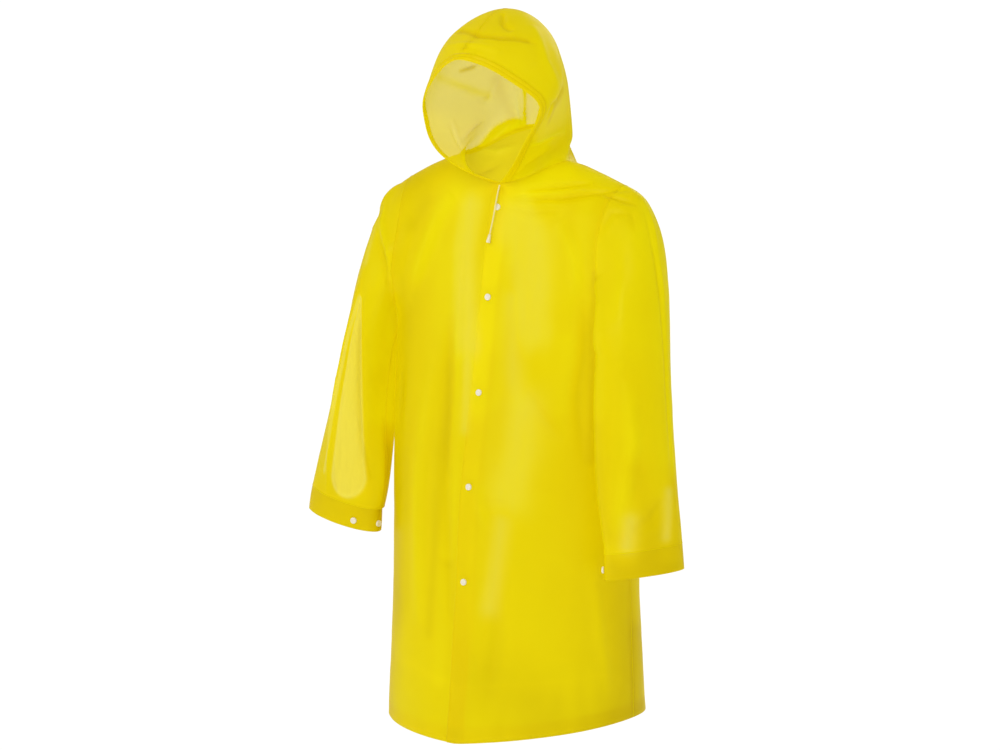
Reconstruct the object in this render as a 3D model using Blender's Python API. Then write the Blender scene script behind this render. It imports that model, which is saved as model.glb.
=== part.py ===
# Hooded raincoat of thin film, worn shape with no wearer in it.
# Metres, +Z up, the front faces -Y, the wearer's left is +X.
# The origin is at the base of the neck, midway between the two shoulder seams.

import math

import bmesh
import bpy
import numpy as np
from mathutils import Vector

# Cloth
WALL = 0.0015            # thickness of a panel
CUFF_WALL = 0.0022       # a turned hem is two layers
CASING_WALL = 0.0028     # a folded channel with the cord in it
SEAM_GAP = 0.0004        # space between two panels at a seam
NECK_GAP = 0.0010        # the same where the hood turns up sharply from the neck
LAP = 0.020              # each front passes the centre line by this much
LAP_STEP = 0.0022        # how far the under front lies inside the upper one
LAP_BLEND = 0.045        # width over which it comes back to the common form
ARM_CLEARANCE = 0.008    # a sleeve stays this far from the body's side

# Neck seam, a flat oval that is higher at the back
NECK_HALF_WIDTH = 0.125
NECK_FRONT = 0.057
NECK_BACK = 0.070
NECK_FRONT_DROP = 0.044
NECK_BACK_RISE = 0.062
NECK_FRONT_POWER = 2.8   # how late the seam drops towards the throat
NECK_BACK_POWER = 1.8    # and how late it rises towards the nape
NECK_ANGLES = (0, 9, 23, 37, 50, 63, 76, 90, 108, 126, 144, 162, 180)
FRONT_ANGLES = 8         # how many of them lie on the front half

# Grid steps
BODY_STEPS = 13          # hem to armpit
EDGE_STEPS = 6           # armpit level to the neck, along the front edge
EDGE_SHARE = 0.62        # how much of the armhole those rows reach up
PANEL_STEPS = 9          # centre to side, and along a shoulder seam
CAP_STEPS = 6            # armhole to the first full ring of the sleeve
SLEEVE_STEPS = 9         # that ring to the cuff
CUFF_STEPS = 2
HOOD_STEPS = 17          # neck seam to brim
ARM_STEPS = EDGE_STEPS + FRONT_ANGLES   # armpit to shoulder tip

# Body below the armpit: height, half width, front, back, squareness
BODY_ROWS = (
    (-0.310, 0.268, 0.105, 0.104, 3.0),
    (-0.435, 0.266, 0.126, 0.104, 2.8),
    (-0.610, 0.264, 0.159, 0.112, 2.5),
    (-0.790, 0.263, 0.176, 0.124, 2.3),
    (-0.950, 0.268, 0.191, 0.147, 2.2),
    (-1.097, 0.274, 0.206, 0.172, 2.1),
)
HEM_RISE = 0.050         # how much higher the hem is at the left side seam

# Centre line above the armpit level: height, distance in front of the origin
CENTRE_FRONT = (
    (-0.310, 0.105),
    (-0.257, 0.0966),
    (-0.160, 0.079),
    (-0.089, 0.0645),
    (-0.044, 0.057),
)
# The same behind: height, distance behind the origin
CENTRE_BACK = (
    (-0.310, 0.104),
    (-0.200, 0.108),
    (-0.100, 0.108),
    (-0.030, 0.096),
    (0.062, 0.070),
)

# Armhole of the left side, shoulder tip to armpit: x, y, z
ARMHOLE_FRONT = (
    (0.235, 0.000, -0.042),
    (0.234, -0.035, -0.058),
    (0.231, -0.066, -0.100),
    (0.231, -0.084, -0.150),
    (0.235, -0.092, -0.195),
    (0.243, -0.084, -0.245),
    (0.257, -0.050, -0.288),
    (0.268, 0.000, -0.310),
)
ARMHOLE_BACK = (
    (0.235, 0.000, -0.042),
    (0.234, 0.032, -0.058),
    (0.228, 0.060, -0.100),
    (0.226, 0.078, -0.150),
    (0.230, 0.085, -0.200),
    (0.240, 0.075, -0.250),
    (0.256, 0.045, -0.292),
    (0.268, 0.000, -0.310),
)

# Sleeve rings: height at the centre, centre x, centre y, half length, half width, turn in degrees
LEFT_SLEEVE = (
    (-0.345, 0.309, -0.080, 0.074, 0.051, 62.0),
    (-0.470, 0.323, -0.092, 0.072, 0.050, 56.0),
    (-0.580, 0.334, -0.098, 0.072, 0.048, 48.0),
    (-0.700, 0.345, -0.097, 0.072, 0.044, 42.0),
    (-0.745, 0.347, -0.096, 0.073, 0.043, 40.0),
)
RIGHT_SLEEVE = (
    (-0.370, 0.328, -0.038, 0.084, 0.056, 72.0),
    (-0.470, 0.337, -0.060, 0.083, 0.056, 48.0),
    (-0.580, 0.343, -0.080, 0.090, 0.051, 24.0),
    (-0.674, 0.346, -0.096, 0.094, 0.044, 10.0),
    (-0.719, 0.349, -0.100, 0.091, 0.042, 5.0),
)
# Outer rise of a ring for each metre out, and how squarely the shoulder turns down
LEFT_LEAN, LEFT_REACH = 0.17, 0.90
RIGHT_LEAN, RIGHT_REACH = 0.17, 1.02
SHOULDER_HOLD = 1.3      # how long the outer line of the sleeve keeps its own direction
BACK_SPREAD = 0.9        # how much more the back of a sleeve leaves sideways
UNDERARM = -0.200        # below this the top of a sleeve is kept clear of the body
CUFF_DEPTH = 0.045
CUFF_FLARE = 0.0012

# Hood, left half. Face edge from the throat to the brim: x, y, z
FACE_EDGE = (
    (0.000, -0.057, -0.044),
    (0.040, -0.094, -0.027),
    (0.080, -0.122, 0.000),
    (0.105, -0.133, 0.030),
    (0.124, -0.126, 0.063),
    (0.136, -0.119, 0.096),
    (0.114, -0.139, 0.125),
    (0.072, -0.162, 0.156),
    (0.035, -0.180, 0.176),
    (0.000, -0.192, 0.185),
)
# Centre seam from the nape over the crown to the brim: y, z
CENTRE_SEAM = (
    (0.070, 0.062),
    (0.092, 0.090),
    (0.102, 0.132),
    (0.086, 0.190),
    (0.052, 0.240),
    (0.012, 0.271),
    (-0.030, 0.284),
    (-0.072, 0.275),
    (-0.113, 0.248),
    (-0.150, 0.220),
    (-0.171, 0.205),
)
# How far a row of the hood runs on from its face edge, and sideways from the seam:
# share of the way up, face x, face y, face z, seam x
HOOD_ROWS = (
    (0.00, 0.165, 0.000, 0.020, 0.165),
    (0.15, 0.072, 0.050, 0.010, 0.134),
    (0.30, 0.040, 0.075, 0.010, 0.122),
    (0.50, 0.030, 0.085, 0.020, 0.102),
    (0.70, 0.036, 0.060, 0.055, 0.073),
    (0.85, 0.028, 0.035, 0.050, 0.043),
    (1.00, 0.000, 0.006, 0.008, 0.000),
)
HOOD_FULLNESS = {"left": 0.96, "right": 1.10}
CASING_WIDTH = 0.016
CASING_CROWN = 0.0006    # how much the channel stands up along its middle

# Soft folds of the cloth: start, end, depth (a ridge is positive), half width
FOLDS = (
    ((0.286, -0.035, -0.066), (0.286, 0.030, -0.066), 0.0100, 0.035),
    ((-0.290, -0.035, -0.066), (-0.290, 0.030, -0.066), 0.0140, 0.035),
    ((-0.090, 0.000, -0.005), (-0.285, 0.000, -0.050), 0.0170, 0.050),
    ((0.070, -0.080, -0.060), (0.205, -0.060, -0.070), -0.0030, 0.010),
    ((0.060, -0.085, -0.105), (0.215, -0.080, -0.100), 0.0030, 0.013),
    ((0.134, -0.030, 0.052), (0.036, -0.095, -0.002), -0.0045, 0.013),
    ((0.020, -0.150, 0.245), (0.100, -0.020, 0.215), -0.0040, 0.012),
    ((0.330, -0.020, -0.120), (0.360, -0.110, -0.700), 0.0050, 0.016),
    ((-0.320, -0.070, -0.230), (-0.370, -0.130, -0.660), 0.0050, 0.016),
    ((0.120, -0.110, -0.300), (0.100, -0.190, -0.950), 0.0060, 0.040),
    ((-0.130, -0.110, -0.300), (-0.150, -0.170, -0.950), 0.0060, 0.040),
    ((0.110, 0.110, -0.250), (0.130, 0.170, -1.000), 0.0060, 0.045),
    ((-0.090, 0.110, -0.250), (-0.110, 0.170, -1.000), 0.0060, 0.045),
)

# Press snaps
SNAP_HEIGHTS = (-0.0892, -0.2572, -0.4356, -0.6111, -0.7903)
SNAP_RADIUS = 0.0062
SNAP_THICKNESS = 0.0024
SNAP_EDGE = 0.0009
LIFT = 0.0003            # a piece lies this far off the cloth under it
# Cuff snaps: angles round the ring, from its outer side towards the front
CUFF_SNAP_ANGLES = {"left": (150.0, 200.0), "right": (122.0, 172.0)}
CUFF_SNAP_LIFT = 0.0010  # a flat snap stands off the cuff's curve by this much more
CUFF_SNAP_SHARE = 0.62   # how far down the cuff they are

# Drawstring and its end
CORD_RADIUS = 0.0015
CORD_STEPS = 34
CORD_ROUTE = (
    (0.0020, -0.0615, -0.0480),
    (0.0018, -0.0660, -0.0600),
    (0.0014, -0.0705, -0.0750),
    (0.0008, -0.0740, -0.0892),
    (-0.0010, -0.0765, -0.1050),
    (-0.0035, -0.0800, -0.1250),
    (-0.0050, -0.0835, -0.1400),
)
BELL_LENGTH = 0.0157
BELL_TOP_RADIUS = 0.0024
BELL_LOW_RADIUS = 0.0042

# Colour, roughness and metallic value of each material
FINISHES = {
    "film": ((0.83, 0.68, 0.005), 0.42, 0.0),
    "snap_plastic": ((0.88, 0.88, 0.80), 0.35, 0.0),
    "cord": ((0.86, 0.85, 0.70), 0.60, 0.0),
}


# Curves and grids

def cubic(knots, values):
    # A natural cubic through values given at rising knots
    knots = np.asarray(knots, float)
    values = np.asarray(values, float)
    steps = np.diff(knots)
    slopes = np.diff(values, axis=0) / steps.reshape((-1,) + (1,) * (values.ndim - 1))
    system = np.eye(len(knots))
    right = np.zeros_like(values)
    for i in range(1, len(knots) - 1):
        system[i, i - 1:i + 2] = steps[i - 1], 2 * (steps[i - 1] + steps[i]), steps[i]
        right[i] = 6 * (slopes[i] - slopes[i - 1])
    bends = np.linalg.solve(system, right)

    def at(place):
        i = int(np.clip(np.searchsorted(knots, place) - 1, 0, len(steps) - 1))
        a = (knots[i + 1] - place) / steps[i]
        b = (place - knots[i]) / steps[i]
        bend = (a ** 3 - a) * bends[i] + (b ** 3 - b) * bends[i + 1]
        return a * values[i] + b * values[i + 1] + bend * steps[i] ** 2 / 6

    return at


def curve(points):
    # A smooth curve through points, with 0 at its start and 1 at its end
    points = np.asarray(points, float)
    lengths = np.linalg.norm(np.diff(points, axis=0), axis=1)
    knots = np.concatenate(([0.0], np.cumsum(lengths)))
    return cubic(knots / knots[-1], points)


def by_height(rows, column):
    table = sorted(rows)
    return cubic([row[0] for row in table], [row[column] for row in table])


def spread(line, shares):
    # Points of a dense line at the given shares of its length
    lengths = np.linalg.norm(np.diff(line, axis=0), axis=1)
    along = np.concatenate(([0.0], np.cumsum(lengths)))
    where = np.asarray(shares) * along[-1]
    return np.stack([np.interp(where, along, line[:, axis]) for axis in range(3)], axis=-1)


def evenly(count):
    return np.linspace(0.0, 1.0, count + 1)


def unit(vectors):
    return vectors / np.linalg.norm(vectors, axis=-1, keepdims=True)


def smooth_step(share):
    share = np.clip(share, 0.0, 1.0)
    return share * share * (3 - 2 * share)


def mirrored(points):
    return points * np.array((-1.0, 1.0, 1.0))


# Form of the body

half_width_at = by_height(BODY_ROWS, 1)
front_at = by_height(BODY_ROWS, 2)
back_at = by_height(BODY_ROWS, 3)
squareness_at = by_height(BODY_ROWS, 4)
centre_front_at = by_height(CENTRE_FRONT, 1)
centre_back_at = by_height(CENTRE_BACK, 1)
armhole_front = curve(ARMHOLE_FRONT)
armhole_back = curve(ARMHOLE_BACK)
ARMPIT = BODY_ROWS[0][0]
HEM = BODY_ROWS[-1][0]
LAP_END = LAP + LAP_BLEND
NECK_STEPS = len(NECK_ANGLES) - FRONT_ANGLES


def neck(degrees):
    # The neck seam: 0 at the throat, 90 at the left shoulder seam, 180 at the nape
    angle = math.radians(degrees)
    forward = math.cos(angle)
    depth = NECK_FRONT if forward > 0 else NECK_BACK
    rise = -NECK_FRONT_DROP if forward > 0 else NECK_BACK_RISE
    power = NECK_FRONT_POWER if forward > 0 else NECK_BACK_POWER
    lift = rise * abs(forward) ** power
    return np.array((NECK_HALF_WIDTH * math.sin(angle), -depth * forward, lift))


def quarter(inner, outer, squareness):
    # A dense quarter of a squared oval, level with x at inner and with y at outer
    angle = np.linspace(0.0, math.pi / 2, 90)
    out = np.sin(angle) ** (2 / squareness)
    turn = 1 - np.cos(angle) ** (2 / squareness)
    line = np.stack([inner[0] + (outer[0] - inner[0]) * out,
                     inner[1] + (outer[1] - inner[1]) * turn,
                     np.zeros_like(angle)], axis=-1)
    lengths = np.linalg.norm(np.diff(line, axis=0), axis=1)
    along = np.concatenate(([0.0], np.cumsum(lengths)))
    line[:, 2] = inner[2] + (outer[2] - inner[2]) * along / along[-1]
    return line


def with_lap(line):
    # The same row, carried past the centre line by the lap
    near = line[(line[:, 0] > 0.0005) & (line[:, 0] < LAP - 0.0005)]
    end = np.array([LAP] + [np.interp(LAP, line[:, 0], line[:, axis]) for axis in (1, 2)])
    return np.concatenate(([mirrored(end)], mirrored(near)[::-1], line))


def share_at(line, x):
    lengths = np.linalg.norm(np.diff(line, axis=0), axis=1)
    along = np.concatenate(([0.0], np.cumsum(lengths)))
    return np.interp(x, line[:, 0], along) / along[-1]


def front_shares(line):
    # Columns at both edges of the lap, on the centre line and where the lap's step has gone
    first = [share_at(line, x) for x in (-LAP, 0.0, LAP, LAP_END)]
    return np.concatenate((first[:-1], np.linspace(first[-1], 1.0, PANEL_STEPS - 2)))


def hem_rise(height, x):
    share = smooth_step((ARMPIT - height) / (ARMPIT - HEM))
    return share * HEM_RISE * np.maximum(x, 0.0) / BODY_ROWS[-1][1]


def body_line(height, behind, side):
    # One row of a body panel below the armpit, centre to side seam
    depth = back_at(height) if behind else -front_at(height)
    inner = np.array((0.0, depth, height))
    outer = np.array((half_width_at(height), 0.0, height))
    line = quarter(inner, outer, squareness_at(height))
    if not behind:
        line = with_lap(line)
    line[:, 2] += hem_rise(height, line[:, 0] * side)
    return line


def arm_share(step):
    # How far up the armhole a row of the body ends: 0 at the armpit, 1 at the shoulder tip
    if step <= EDGE_STEPS:
        return EDGE_SHARE * step / EDGE_STEPS
    return EDGE_SHARE + (1 - EDGE_SHARE) * (step - EDGE_STEPS) / (ARM_STEPS - EDGE_STEPS)


def upper_front_line(step):
    # One row of a front panel above the armpit: along the front edge, then along the neck
    outer = armhole_front(1 - arm_share(step))
    squareness = 3.0 - 0.8 * step / ARM_STEPS
    if step > EDGE_STEPS:
        return quarter(neck(NECK_ANGLES[step - EDGE_STEPS - 1]), outer, squareness)
    top = neck(NECK_ANGLES[1])[2]
    height = ARMPIT + (top - ARMPIT) * step / EDGE_STEPS
    return with_lap(quarter((0.0, -centre_front_at(height), height), outer, squareness))


def front_grid(side):
    rows = []
    for step in range(BODY_STEPS):
        height = HEM + (ARMPIT - HEM) * step / BODY_STEPS
        line = body_line(height, False, side)
        rows.append(spread(line, front_shares(line)))
    shares = evenly(PANEL_STEPS)
    for step in range(ARM_STEPS + 1):
        line = upper_front_line(step)
        if step <= EDGE_STEPS:
            shares = front_shares(line)
            rows.append(spread(line, shares))
        else:
            even = (step - EDGE_STEPS) / (ARM_STEPS - EDGE_STEPS)
            rows.append(spread(line, shares + (evenly(PANEL_STEPS) - shares) * even))
    return np.array(rows)


def back_half(side):
    # Half of the back, nape to side: the neck part of each row, then the shoulder part
    shares = np.concatenate((np.linspace(0.0, 0.5, NECK_STEPS + 1),
                             np.linspace(0.5, 1.0, PANEL_STEPS + 1)[1:]))
    rows = []
    for step in range(BODY_STEPS):
        height = HEM + (ARMPIT - HEM) * step / BODY_STEPS
        rows.append(spread(body_line(height, True, side), shares))
    nape = [neck(angle) for angle in NECK_ANGLES[:FRONT_ANGLES - 2:-1]]
    shoulder = upper_front_line(ARM_STEPS)
    top = np.concatenate((nape, spread(shoulder, evenly(PANEL_STEPS))[1:]))
    for step in range(ARM_STEPS + 1):
        share = arm_share(step)
        height = ARMPIT + (NECK_BACK_RISE - ARMPIT) * share
        inner = (0.0, centre_back_at(height), height)
        line = quarter(inner, armhole_back(1 - share), 3.0 - 0.6 * share)
        row = spread(line, shares)
        change = (top - row) * share ** 4
        rows.append(row + change - change[-1] * shares[:, None] ** 2)
    return np.array(rows)


# Form of the sleeves

def armhole_loop():
    # Shoulder tip, down the front to the armpit, and up the back
    front = [armhole_front(1 - arm_share(step)) for step in range(ARM_STEPS, 0, -1)]
    back = [armhole_back(1 - arm_share(step)) for step in range(ARM_STEPS)]
    return np.array(front + back)


def loop_angles():
    # The same points as angles: 0 at the shoulder tip, a half turn at the armpit
    front = [math.pi * (1 - arm_share(step)) for step in range(ARM_STEPS, 0, -1)]
    back = [math.pi * (1 + arm_share(step)) for step in range(ARM_STEPS)]
    return front + back


def off_the_body(point):
    # The point, moved out to stay clear of the body's side
    height = float(np.clip(point[2], HEM, ARMPIT))
    wide = half_width_at(height) + ARM_CLEARANCE
    deep = (front_at(height) if point[1] < 0 else back_at(height)) + ARM_CLEARANCE
    power = squareness_at(height)
    inside = (abs(point[0]) / wide) ** power + (abs(point[1]) / deep) ** power
    if inside < 1:
        point[:2] = point[:2] / inside ** (1 / power)
    return point


def ring(tables, height, lean):
    # One ring of a sleeve, from its outer side round by the front
    x, y, half_length, half_width, turn = [table(height) for table in tables]
    points = []
    yaw = math.radians(turn)
    for angle in loop_angles():
        along = half_length * math.cos(angle + yaw)
        across = half_width * math.sin(angle + yaw)
        dx = along * math.cos(yaw) + across * math.sin(yaw)
        dy = along * math.sin(yaw) - across * math.cos(yaw)
        points.append(off_the_body(np.array((x + dx, y + dy, height + lean * dx))))
    return np.array(points)


def sleeve_grid(rows, lean, shoulder_reach):
    tables = [by_height(rows, column) for column in range(1, 6)]
    first, last = rows[0][0], rows[-1][0]
    loop, start = armhole_loop(), ring(tables, first, lean)
    down = unit(ring(tables, first - 0.02, lean) - start)
    grid = []
    for step in range(CAP_STEPS):
        t = step / CAP_STEPS
        row = []
        for i, (a, b, angle) in enumerate(zip(loop, start, loop_angles())):
            high = 0.5 + 0.5 * math.cos(angle)
            behind = max(0.0, -math.sin(angle))
            leave = unit(np.array((0.3 + 0.7 * high + BACK_SPREAD * behind, 0.0, -1.0 + 0.65 * high)))
            reach = np.linalg.norm(b - a)
            out = reach * (1.0 + (shoulder_reach - 1.0) * high)
            hold = reach * (1.0 + (SHOULDER_HOLD - 1.0) * high)
            point = ((2 * t ** 3 - 3 * t ** 2 + 1) * a + (3 * t ** 2 - 2 * t ** 3) * b
                     + (t ** 3 - 2 * t ** 2 + t) * out * leave
                     + (t ** 3 - t ** 2) * hold * down[i])
            low = step > 0 and point[2] < UNDERARM
            row.append(off_the_body(point) if low else point)
        grid.append(row)
    for step in range(SLEEVE_STEPS + 1):
        height = first + (last + CUFF_DEPTH - first) * step / SLEEVE_STEPS
        grid.append(ring(tables, height, lean))
    for step in range(1, CUFF_STEPS + 1):
        grid.append(ring(tables, last + CUFF_DEPTH * (1 - step / CUFF_STEPS), lean))
    return np.array(grid)


# Form of the hood

face_edge = curve(FACE_EDGE)
centre_seam = curve([(0.0, y, z) for y, z in CENTRE_SEAM])
hood_reach = cubic([row[0] for row in HOOD_ROWS], [row[1:] for row in HOOD_ROWS])


def hood_line(share, fullness):
    # One row of half the hood, face edge to centre seam
    start, end = face_edge(share), centre_seam(share)
    reach = hood_reach(share) * np.array((fullness, 1.0, 1.0, fullness))
    first, second = start + reach[:3], end + np.array((reach[3], 0.0, 0.0))
    t = np.linspace(0.0, 1.0, 60)[:, None]
    return ((1 - t) ** 3 * start + 3 * (1 - t) ** 2 * t * first
            + 3 * (1 - t) * t ** 2 * second + t ** 3 * end)


def hood_grid(fullness):
    # Columns: face edge, middle of the casing, its inner edge, then on to the centre seam
    bottom = np.array([neck(angle) for angle in NECK_ANGLES])
    bottom = np.insert(bottom, 1, neck(NECK_ANGLES[1] / 2), axis=0)
    rows = [bottom]
    count = len(NECK_ANGLES) - 1
    for step in range(1, HOOD_STEPS + 1):
        share = step / HOOD_STEPS
        line = hood_line(share, fullness)
        length = np.linalg.norm(np.diff(line, axis=0), axis=1).sum()
        casing = CASING_WIDTH / length
        shares = np.concatenate(([0.0, casing / 2], np.linspace(casing, 1.0, count)))
        row = spread(line, shares)
        rows.append(row + (bottom - row) * (1 - share) ** 12)
    return np.array(rows)


# Folds and directions shared by pieces that meet

def segment_distance(point, start, end):
    along = end - start
    share = np.clip(np.dot(point - start, along) / np.dot(along, along), 0.0, 1.0)
    return np.linalg.norm(point - start - share * along), share


def fold_height(point):
    total = 0.0
    for start, end, depth, half_width in FOLDS:
        distance, share = segment_distance(point, np.array(start), np.array(end))
        fade = math.sin(math.pi * min(max(share, 0.02), 0.98)) ** 0.5
        total += depth * fade * math.exp(-(distance / half_width) ** 2)
    return total


def grid_normals(grid, closed):
    # Area-weighted normals of the faces round each point, all on one side of the grid
    total = np.zeros_like(grid)
    rows, columns = grid.shape[:2]
    for i in range(rows - 1):
        for j in range(columns if closed else columns - 1):
            corners = ((i, j), (i, (j + 1) % columns), (i + 1, (j + 1) % columns), (i + 1, j))
            a, b, c, d = [grid[corner] for corner in corners]
            face = np.cross(c - a, d - b)
            for corner in corners:
                total[corner] += face
    return total


def key(point):
    return tuple(np.round(point * 20000).astype(int))


def share_normals(grids):
    # grids: name to (points, closed, turn); turn is 1 or -1 and makes the normals face out
    shared = {}
    own = {}
    for name, (grid, closed, turn) in grids.items():
        own[name] = grid_normals(grid, closed) * turn
        for place in np.ndindex(grid.shape[:2]):
            spot = key(grid[place])
            shared[spot] = shared.get(spot, 0.0) + unit(own[name][place] + 1e-12)
    result = {}
    for name, (grid, closed, turn) in grids.items():
        normals = np.zeros_like(grid)
        for place in np.ndindex(grid.shape[:2]):
            normals[place] = shared[key(grid[place])]
        result[name] = unit(normals)
    return result


def trimmed(grid, ends, sides):
    # The grid, drawn back at its first and last rows and at its sides
    grid = grid.copy()
    for edge, inside in ((0, 1), (-1, -2)):
        grid[edge] += unit(grid[inside] - grid[edge]) * ends
    for edge, inside in ((0, 1), (-1, -2)):
        if sides:
            grid[:, edge] += unit(grid[:, inside] - grid[:, edge]) * sides
    return grid


# Blender objects

def clear_scene():
    for obj in list(bpy.data.objects):
        bpy.data.objects.remove(obj, do_unlink=True)


def new_collection(name):
    group = bpy.data.collections.new(name)
    bpy.context.scene.collection.children.link(group)
    return group


def material(name):
    colour, roughness, metallic = FINISHES[name]
    made = bpy.data.materials.get(name) or bpy.data.materials.new(name)
    made.use_nodes = True
    shader = made.node_tree.nodes["Principled BSDF"]
    shader.inputs["Base Color"].default_value = (*colour, 1.0)
    shader.inputs["Roughness"].default_value = roughness
    shader.inputs["Metallic"].default_value = metallic
    return made


def add_object(name, mesh, finish, group):
    obj = bpy.data.objects.new(name, mesh)
    mesh.materials.append(material(finish).copy())
    mesh.materials[0].name = name
    group.objects.link(obj)
    return obj


def add_wall(name, outer, normals, thickness, group, closed=False):
    # A sheet of cloth with its thickness turned inwards
    rows, columns = outer.shape[:2]
    inner = outer - normals * thickness
    count = rows * columns
    points = np.concatenate((outer.reshape(-1, 3), inner.reshape(-1, 3)))
    around = columns if closed else columns - 1
    faces = []
    for i in range(rows - 1):
        for j in range(around):
            a, b = i * columns + j, i * columns + (j + 1) % columns
            faces.append((a, b, b + columns, a + columns))
            faces.append((a + columns + count, b + columns + count, b + count, a + count))
    for j in range(around):
        a, b = j, (j + 1) % columns
        c, d = a + (rows - 1) * columns, b + (rows - 1) * columns
        faces.append((b, a, a + count, b + count))
        faces.append((c, d, d + count, c + count))
    if not closed:
        for i in range(rows - 1):
            a, b = i * columns, (i + 1) * columns
            c, d = a + columns - 1, b + columns - 1
            faces.append((a, b, b + count, a + count))
            faces.append((d, c, c + count, d + count))
    mesh = bpy.data.meshes.new(name)
    mesh.from_pydata(points.tolist(), [], faces)
    form = bmesh.new()
    form.from_mesh(mesh)
    bmesh.ops.recalc_face_normals(form, faces=form.faces)
    form.to_mesh(mesh)
    form.free()
    mesh.shade_smooth()
    return add_object(name, mesh, "film", group)


def add_snap(name, place, normal, group):
    form = bmesh.new()
    bmesh.ops.create_cone(form, cap_ends=True, segments=24, radius1=SNAP_RADIUS,
                          radius2=SNAP_RADIUS, depth=SNAP_THICKNESS)
    top = [edge for edge in form.edges if all(v.co.z > 0 for v in edge.verts)]
    bmesh.ops.bevel(form, geom=top, offset=SNAP_EDGE, segments=2, affect="EDGES")
    mesh = bpy.data.meshes.new(name)
    form.to_mesh(mesh)
    form.free()
    obj = add_object(name, mesh, "snap_plastic", group)
    normal = Vector(normal).normalized()
    obj.location = Vector(place) + normal * (LIFT * 2 + SNAP_THICKNESS / 2)
    obj.rotation_euler = normal.to_track_quat("Z", "Y").to_euler()
    return obj


def add_drawstring(group):
    route = curve(CORD_ROUTE)
    line = bpy.data.curves.new("drawstring", "CURVE")
    line.dimensions = "3D"
    line.bevel_depth = CORD_RADIUS
    line.bevel_resolution = 2
    line.use_fill_caps = True
    spline = line.splines.new("POLY")
    spline.points.add(CORD_STEPS)
    for i, point in enumerate(spline.points):
        point.co = (*route(i / CORD_STEPS), 1.0)
    obj = add_object("drawstring", line, "cord", group)
    return obj, route


def add_cord_end(route, group):
    # A bell that widens downwards, hung on the end of the drawstring
    top = Vector(route(1.0))
    down = (top - Vector(route(0.97))).normalized()
    form = bmesh.new()
    bmesh.ops.create_cone(form, cap_ends=True, segments=20, radius1=BELL_TOP_RADIUS,
                          radius2=BELL_LOW_RADIUS, depth=BELL_LENGTH)
    lower = [edge for edge in form.edges if all(v.co.z > 0 for v in edge.verts)]
    bmesh.ops.bevel(form, geom=lower, offset=SNAP_EDGE, segments=2, affect="EDGES")
    mesh = bpy.data.meshes.new("cord_end")
    form.to_mesh(mesh)
    form.free()
    obj = add_object("cord_end", mesh, "cord", group)
    obj.location = top + down * (LIFT + BELL_LENGTH / 2)
    obj.rotation_euler = down.to_track_quat("Z", "Y").to_euler()
    return obj


# The garment

def body_and_hood_forms():
    forms = {}
    for side, name in ((1, "left"), (-1, "right")):
        flip = mirrored if side < 0 else np.array
        forms["front_" + name] = (flip(front_grid(side)), False, side)
        if side > 0:
            sleeve = sleeve_grid(LEFT_SLEEVE, LEFT_LEAN, LEFT_REACH)
        else:
            sleeve = sleeve_grid(RIGHT_SLEEVE, RIGHT_LEAN, RIGHT_REACH)
        forms["sleeve_" + name] = (flip(sleeve), True, side)
        forms["hood_" + name] = (flip(hood_grid(HOOD_FULLNESS[name])), False, side)
    left, right = back_half(1), mirrored(back_half(-1))
    forms["back"] = (np.concatenate((left[:, ::-1], right[:, 1:]), axis=1), False, 1)
    return forms


def folded(forms):
    normals = share_normals(forms)
    result = {}
    for name, (grid, closed, turn) in forms.items():
        grid = grid.copy()
        for place in np.ndindex(grid.shape[:2]):
            grid[place] += normals[name][place] * fold_height(grid[place])
        result[name] = (grid, closed, turn)
    return result, share_normals(result)


def step_under(grid, normals):
    # The under front lies inside the upper one along the lap
    share = smooth_step((LAP_END - np.abs(grid[..., :1])) / LAP_BLEND)
    crossed = grid[..., :1] > 0
    return grid - normals * LAP_STEP * np.where(crossed, 1.0, share)


def build():
    clear_scene()
    group = new_collection("hooded_raincoat")
    new_collection("cutters")
    forms, normals = folded(body_and_hood_forms())

    for name in ("front_left", "front_right", "back"):
        grid = trimmed(forms[name][0], SEAM_GAP / 2, SEAM_GAP / 2)
        if name == "front_right":
            grid = step_under(grid, normals[name])
        add_wall(name, grid, normals[name], WALL, group)

    for side in ("left", "right"):
        grid, ways = forms["sleeve_" + side][0], normals["sleeve_" + side]
        cut = len(grid) - 1 - CUFF_STEPS
        add_wall("sleeve_" + side, trimmed(grid[:cut + 1], SEAM_GAP / 2, 0), ways[:cut + 1],
                 WALL, group, closed=True)
        cuff = grid[cut:] + ways[cut:] * CUFF_FLARE
        add_wall("cuff_" + side, trimmed(cuff, SEAM_GAP / 2, 0), ways[cut:],
                 CUFF_WALL, group, closed=True)
        add_cuff_snaps(side, cuff, ways[cut:], group)

        grid, ways = forms["hood_" + side][0], normals["hood_" + side]
        panel = trimmed(grid[:, 2:], NECK_GAP - SEAM_GAP / 2, SEAM_GAP / 2)
        add_wall("hood_" + side, panel, ways[:, 2:], WALL, group)

    add_casing(forms, normals, group)
    for number, height in enumerate(SNAP_HEIGHTS, 1):
        depth_at = centre_front_at if height > ARMPIT else front_at
        slope = (depth_at(height + 0.001) - depth_at(height - 0.001)) / 0.002
        add_snap(f"snap_{number}", (0.0, -depth_at(height), height), (0.0, -1.0, -slope), group)
    _, route = add_drawstring(group)
    add_cord_end(route, group)


def add_cuff_snaps(side, cuff, ways, group):
    angles = loop_angles()

    def round_ring(row, angle):
        return np.array([np.interp(math.radians(angle), angles, row[:, axis]) for axis in range(3)])

    for number, angle in enumerate(CUFF_SNAP_ANGLES[side], 1):
        top, bottom = round_ring(cuff[0], angle), round_ring(cuff[-1], angle)
        normal = unit(round_ring(ways.mean(axis=0), angle))
        place = top + (bottom - top) * CUFF_SNAP_SHARE + normal * CUFF_SNAP_LIFT
        add_snap(f"cuff_snap_{side}_{number}", place, normal, group)


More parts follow.
